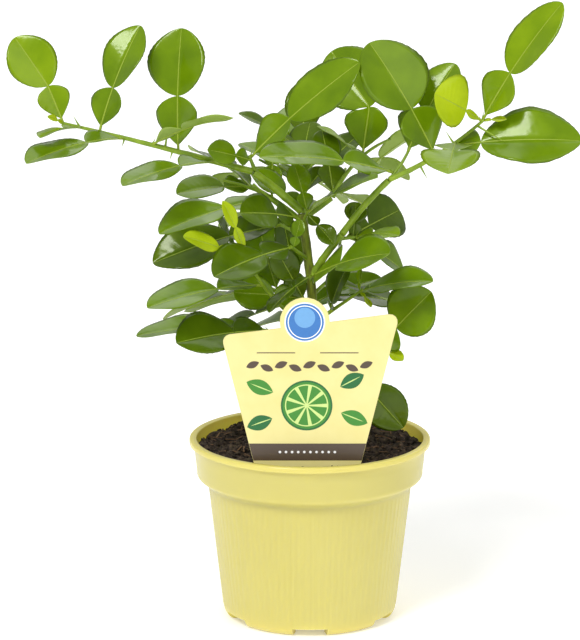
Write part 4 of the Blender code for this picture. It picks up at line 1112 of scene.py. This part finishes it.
def seat(path, along, clear=None):
    """Point of a stem's middle line that a leaf starts from.

    It is sunk back from the stem's tip, and lies past the round carrier that the stem stands on.
    """
    length = np.linalg.norm(path[-1] - path[0])
    least = 0.0
    if clear:
        _, axis, radius = clear
        _, forward = path_point(path, 0.0)
        least = radius / math.sqrt(1.0 - (axis @ forward) ** 2) + ROOT_PAST
    return path_point(path, min(max(along, least / length), 1.0 - ROOT_SINK / length))[0]


# %% The whole plan
def limb_radii(name, stem, path, share=1.0):
    """Radius at each point of a limb or stem, times a share. The trunk flares at its foot."""
    radii = np.linspace(stem[7], stem[8], len(path)) * share
    if name == "trunk":
        radii = radii + ROOT_FLARE * np.exp(-(path[:, 2] - path[0, 2]) / FLARE_HEIGHT)
    return radii


def limb_body(name, stem, path, clear):
    """Closed mesh of a limb or stem. The trunk's foot is cut level."""
    sides = LIMB_SIDES if name in LIMBS else STEM_SIDES
    verts, faces = tube_mesh(path, limb_radii(name, stem, path), sides, clear)
    if name == "trunk":
        verts[list(range(sides)) + [len(verts) - 2], 2] = path[0, 2]
    return verts, faces


def plan_plant(fixed):
    """Where everything grows: the paths, their carriers, and per mass its twigs and leaves.

    fixed holds the search trees of the pot, the soil and the label. A leaf in the plan is its
    place in the table, the point it starts from and its settled row.
    """
    paths, clears = plan_limbs()
    masses = {**MASSES, **GROWN}
    stands = {}
    for name, path in paths.items():
        stem = LIMBS[name] if name in LIMBS else masses[name]["stem"]
        stands[name] = [bvh(*limb_body(name, stem, path, clears[name]))]

    def others(name):
        """Everything that stands, but for one mass."""
        return fixed + [t for other in stands if other != name for t in stands[other]]

    plan = {name: {"twigs": [], "leaves": []} for name in masses}
    sprays = {name: [(paths[name], mass["leaves"])] for name, mass in MASSES.items()}
    for name, mass in GROWN.items():
        twigs, sprays[name] = grow_mass(mass, paths[name])
        for twig in twigs:
            body = bvh(*tube_mesh(twig, np.linspace(TWIG_FOOT, TWIG_TIP, len(twig)), STEM_SIDES))
            if touches(body, others(name)):
                sprays[name] = [spray for spray in sprays[name] if spray[0] is not twig]
                continue
            plan[name]["twigs"].append(twig)
            stands[name].append(body)
    for name, mass in masses.items():
        rows = [(path, row) for path, spray in sprays[name] for row in spray]
        for i, (path, (along, *row)) in enumerate(rows):
            base = seat(path, along, clears[name] if path is paths[name] else None)
            moved = settle(base, row, stands[name], others(name), mass.get("space"))
            if moved is None:
                print("no room for leaf", i, "of", name)
                continue
            plan[name]["leaves"].append((i, base, moved))
            stands[name].append(bvh(*leaf_mesh(base, moved)))
    return paths, clears, plan


def solid_tree(name):
    """Search tree of a solid of the frame, in millimetres."""
    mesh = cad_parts[name].data
    verts = np.array([v.co for v in mesh.vertices]) / MM
    return bvh(verts, [tuple(p.vertices) for p in mesh.polygons])


paths, clears, plan = plan_plant([solid_tree(name) for name in ("pot", "soil", "plant_label")])
print("leaves:", sum(len(mass["leaves"]) for mass in plan.values()))

# %% [markdown]
# ## Trunk and boughs
#
# A young citrus stem is green, with the first brown of bark on the trunk. Its relief is low:
# lengthwise ridges, and a swelling at each node where a leaf once stood. Displacement in the
# shader could make it, but a fine tube whose radius follows the relief is a true mesh.

# %% Bark materials
# Streaks along the stem, from olive brown to green: noise drawn out upwards.
olives = ((0.3, "5C5A1E"), (0.5, "74801C"), (0.68, "88981E"))
bark = surface("young_citrus_bark", 0.62, 1.45, (1.6, 5.0), olives, (1.6, 5.0, 0.5, 0.4), 0.22)
# Smooth waxy skin in soft patches, lighter and darker.
green_stem = surface("green_citrus_stem", 0.42, 1.45, (7, 3.0), ((0.3, "6F8E14"), (0.7, "93AE28")))


# %% Relief on a stem
NODE_REACH = 1.3               # how far along the stem a node's swelling reaches
BARK_RELIEF = 0.035            # height of the relief, as a share of the radius
STEM_RELIEF = 0.03


def fine_tube(heap, path, radii, sides, clear, relief):
    """Tube with relief: each ring point moves out by a share of the radius."""
    verts, faces = tube_mesh(path, radii, sides, clear)
    rings = len(path)
    body = verts[:rings * sides].reshape(rings, sides, 3)
    out = body - path[:, None]
    angle = np.linspace(0, math.tau, sides, endpoint=False)[None, :]
    far = np.concatenate([[0.0], np.cumsum(np.linalg.norm(np.diff(path, axis=0), axis=1))])[:, None]
    ridge = np.sin(5 * angle + 0.35 * far) + 0.6 * np.sin(9 * angle - 0.8 * far + 1.0)
    half = 0.5 * NODE_SPACING
    node = np.exp(-((np.mod(far + half, NODE_SPACING) - half) / NODE_REACH) ** 2)
    fade = np.clip(far / 2.0, 0.0, 1.0) if clear else 1.0
    body = body + out * ((relief * ridge + 1.6 * relief * node) * fade)[:, :, None]
    verts[:rings * sides] = body.reshape(-1, 3)
    heap.add(verts, faces)


def fine_path(name, stem):
    """The limb's path again, with a point every 1.2 mm."""
    return limb_path(paths[name][0], *stem[2:7], max(4, round(stem[4] / 1.2)))


for name, stem in LIMBS.items():
    path = fine_path(name, stem)
    limb = Heap()
    fine_tube(limb, path, limb_radii(name, stem, path, 0.96), 20, clears[name], BARK_RELIEF)
    skin = bark if name == "trunk" else green_stem
    limb.piece(name + "_bark", [skin], slot="stems", replaced=[name])

# %% [markdown]
# ## Leaves
#
# Each leaf is a thin closed sheet: the surface formula on a fine grid, once for its upper and
# once for its lower side. Real leaves aren't smooth ellipses, so the formula gets a scalloped
# margin, a slow wave along the edge, and creases where the side veins run. Four leaf colours
# are dealt out by spray, because a leaf darkens as it ages.

# %% Leaf materials
GLOSS_TINT = "E8FF50"          # a green leaf takes the blue out of what it mirrors


def leaf_material(name, dark, bright, roughness, coat):
    """Waxy leaf skin: two close greens in soft patches, with a clear glossy coat."""
    return surface(name, roughness, 1.45, (16, 3.0), ((0.35, dark), (0.65, bright)),
                   Specular_Tint=linear(GLOSS_TINT), Specular_IOR_Level=0.3,
                   Coat_Weight=coat, Coat_Roughness=0.12)


LEAF_SKINS = {
    "deep": leaf_material("waxy_leaf_deep", "425C02", "546E04", 0.3, 0.5),
    "mid": leaf_material("waxy_leaf_mid", "5C7B03", "6C8B05", 0.3, 0.5),
    "bright": leaf_material("waxy_leaf_bright", "6F8E04", "7F9C08", 0.32, 0.45),
    "young": leaf_material("soft_leaf_young", "9CB20C", "AEC21A", 0.36, 0.3),
}
underside = leaf_material("matte_leaf_underside", "86A042", "96AE54", 0.55, 0.05)
rib_green = surface("leaf_midrib_pale_green", 0.45, 1.45, Base_Color=linear("98AE30"))

# %% Fine leaf
WING_ROWS = 22
BLADE_ROWS = 40
ACROSS = np.linspace(1.0, -1.0, 13)
SCALLOP = 2.6                  # length of one scallop of the margin
SCALLOP_DEPTH = 0.022          # its depth, as a share of the half width
WAVE = 0.026                   # height of the slow wave along the margin, as a share of the length
VEINS = 9                      # side veins in each half of the blade
VEIN_SLANT = 1.6               # how many veins further on a vein meets the margin
CREASE_UPPER = 0.3             # depth of a vein's crease above, and height of its ridge below
CREASE_LOWER = 0.22
GROOVE = 0.2                   # depth of the groove over the midrib
LEAF_SKIN = 0.2                # half the thickness of a real leaf
UNDERSIDE = 4                  # material number of the underside


def ease(count):
    """Shares from 0 to 1, closer together near both ends."""
    return 0.5 - 0.5 * np.cos(math.pi * np.linspace(0, 1, count))


def fine_leaf(heap, ribs, base, row, rng, index):
    """Leaf as a closed sheet: scalloped and waved middle surface, offset to both sides."""
    length, wing = row[2], row[6]
    s = leaf_shares(wing, ease(WING_ROWS), ease(BLADE_ROWS)[1:])
    points, normal = leaf_surface(base, row, s, ACROSS)
    rib = points[:, len(ACROSS) // 2]
    edge = np.abs(ACROSS)[None, :]
    inner = np.where(s < wing, (s - STALK) / (wing - STALK), (s - wing) / (1.0 - wing))[:, None]
    far = s[:, None]
    scallop = SCALLOP_DEPTH * (0.5 - 0.5 * np.cos(math.tau * far * length / SCALLOP)) * edge ** 8
    points = rib[:, None] + (points - rib[:, None]) * (1.0 - scallop)[:, :, None]
    phase = rng.uniform(0, math.tau, 2)
    calm = np.sin(math.pi * np.clip(inner, 0, 1))
    wave = np.where(ACROSS > 0, np.sin(7.5 * far + phase[0]), np.sin(8.5 * far + phase[1]))
    points = points + normal[:, None] * (WAVE * length * wave * calm * edge ** 1.6)[:, :, None]
    place = np.mod(inner * VEINS - VEIN_SLANT * edge, 1.0)
    crease = np.exp(-((place - 0.5) / 0.16) ** 2) * np.clip(1.1 - edge, 0, 1) * calm
    groove = np.exp(-(edge / 0.07) ** 2)
    half = LEAF_SKIN * (1.0 - 0.5 * edge ** 6)
    above = half - CREASE_UPPER * crease - GROOVE * groove
    below = half + CREASE_LOWER * crease
    upper = points + normal[:, None] * above[:, :, None]
    lower = points - normal[:, None] * below[:, :, None]
    loop = np.concatenate([upper, lower[:, ::-1][:, 1:-1]], 1)
    cols = loop.shape[1]
    column = np.tile(np.arange(cols), len(s) - 1)
    sides = np.where(column < len(ACROSS) - 1, index, UNDERSIDE)
    heap.add(loop.reshape(-1, 3), capped(len(s), cols), list(sides) + [UNDERSIDE] * 2)
    add_midrib(ribs, rib, normal, s, length)


def add_midrib(ribs, rib, normal, s, length):
    """Pale midrib: a thin tube just under the groove, thinning from the stalk to the tip."""
    keep = slice(0, len(s) - 3, 2)
    share = s[keep]
    size = min(1.0, length / 45.0)
    radii = size * np.where(share < STALK + 0.01, 0.75, 0.62 - 0.42 * share)
    ribs.add(*tube_mesh(rib[keep] - normal[keep] * 0.12, np.maximum(radii, 0.15), 6))


# %% Leaves, twigs and thorns of every mass
THORN_STEPS = np.linspace(0.0, 1.0, 6)
THORN_FOOT = 0.7               # radius at the foot of a thorn that the photo shows
SMALL_THORN_FOOT = 0.55
SMALL_THORNS = (3.0, 6.5)      # shortest and longest thorn at a leaf's foot
SMALL_LEAF = 25                # a leaf shorter than this has no thorn


def fine_thorn(heap, base, forward, length, foot):
    """Cone that bends a little towards its tip."""
    side = np.cross(forward, [0.0, 0.0, 1.0])
    over = np.cross(side, forward)
    bow = 0.06 * length * (THORN_STEPS ** 2)[:, None] * over
    path = base + length * THORN_STEPS[:, None] * forward + bow
    heap.add(*tube_mesh(path, foot * (1.0 - 0.93 * THORN_STEPS), 8))


rng = np.random.default_rng(41)
skins = list(LEAF_SKINS)
heaps = {skin: Heap() for skin in skins}
ribs, twigs, thorns = Heap(), Heap(), Heap()
masses = {**MASSES, **GROWN}
for name, mass in masses.items():
    path = fine_path(name, mass["stem"])
    radii = limb_radii(name, mass["stem"], path, 0.94)
    fine_tube(twigs, path, radii, 14, clears[name], STEM_RELIEF)
    for twig in plan[name]["twigs"]:
        steps = np.linspace(0, TWIG_STEPS, 22)
        fine = np.stack([np.interp(steps, range(TWIG_STEPS + 1), twig[:, i]) for i in range(3)], 1)
        fine_tube(twigs, fine, np.linspace(TWIG_FOOT, TWIG_TIP, len(fine)), 12, None, STEM_RELIEF)
    shades = mass["shades"].split()
    for i, base, row in plan[name]["leaves"]:
        skin = shades[i % len(shades)]
        fine_leaf(heaps[skin], ribs, base, row, rng, skins.index(skin))
        if row[2] > SMALL_LEAF:
            out = heading(row[0] + rng.uniform(-25, 25), min(80, row[1] + rng.uniform(20, 45)))
            fine_thorn(thorns, base, out, rng.uniform(*SMALL_THORNS), SMALL_THORN_FOOT)
    for along, turn, rise, length in mass["thorns"]:
        foot = seat(paths[name], along, clears[name])
        fine_thorn(thorns, foot, heading(turn, rise), length, THORN_FOOT)

# %% Leaf pieces
# Leaves are joined by colour, so each piece holds leaves of many masses. Together they stand for
# all the masses, and each piece takes its share of the names.
materials = [LEAF_SKINS[skin] for skin in skins] + [underside]
names = list(masses)
share = math.ceil(len(names) / len(skins))
for k, skin in enumerate(skins):
    stood_for = names[k * share:(k + 1) * share]
    heaps[skin].piece("leaves_" + skin, materials, slot="foliage", replaced=stood_for)
ribs.piece("leaf_midribs", [rib_green], slot="foliage")
twigs.piece("twigs", [green_stem], slot="foliage")
thorns.piece("thorns", [green_stem], slot="foliage")
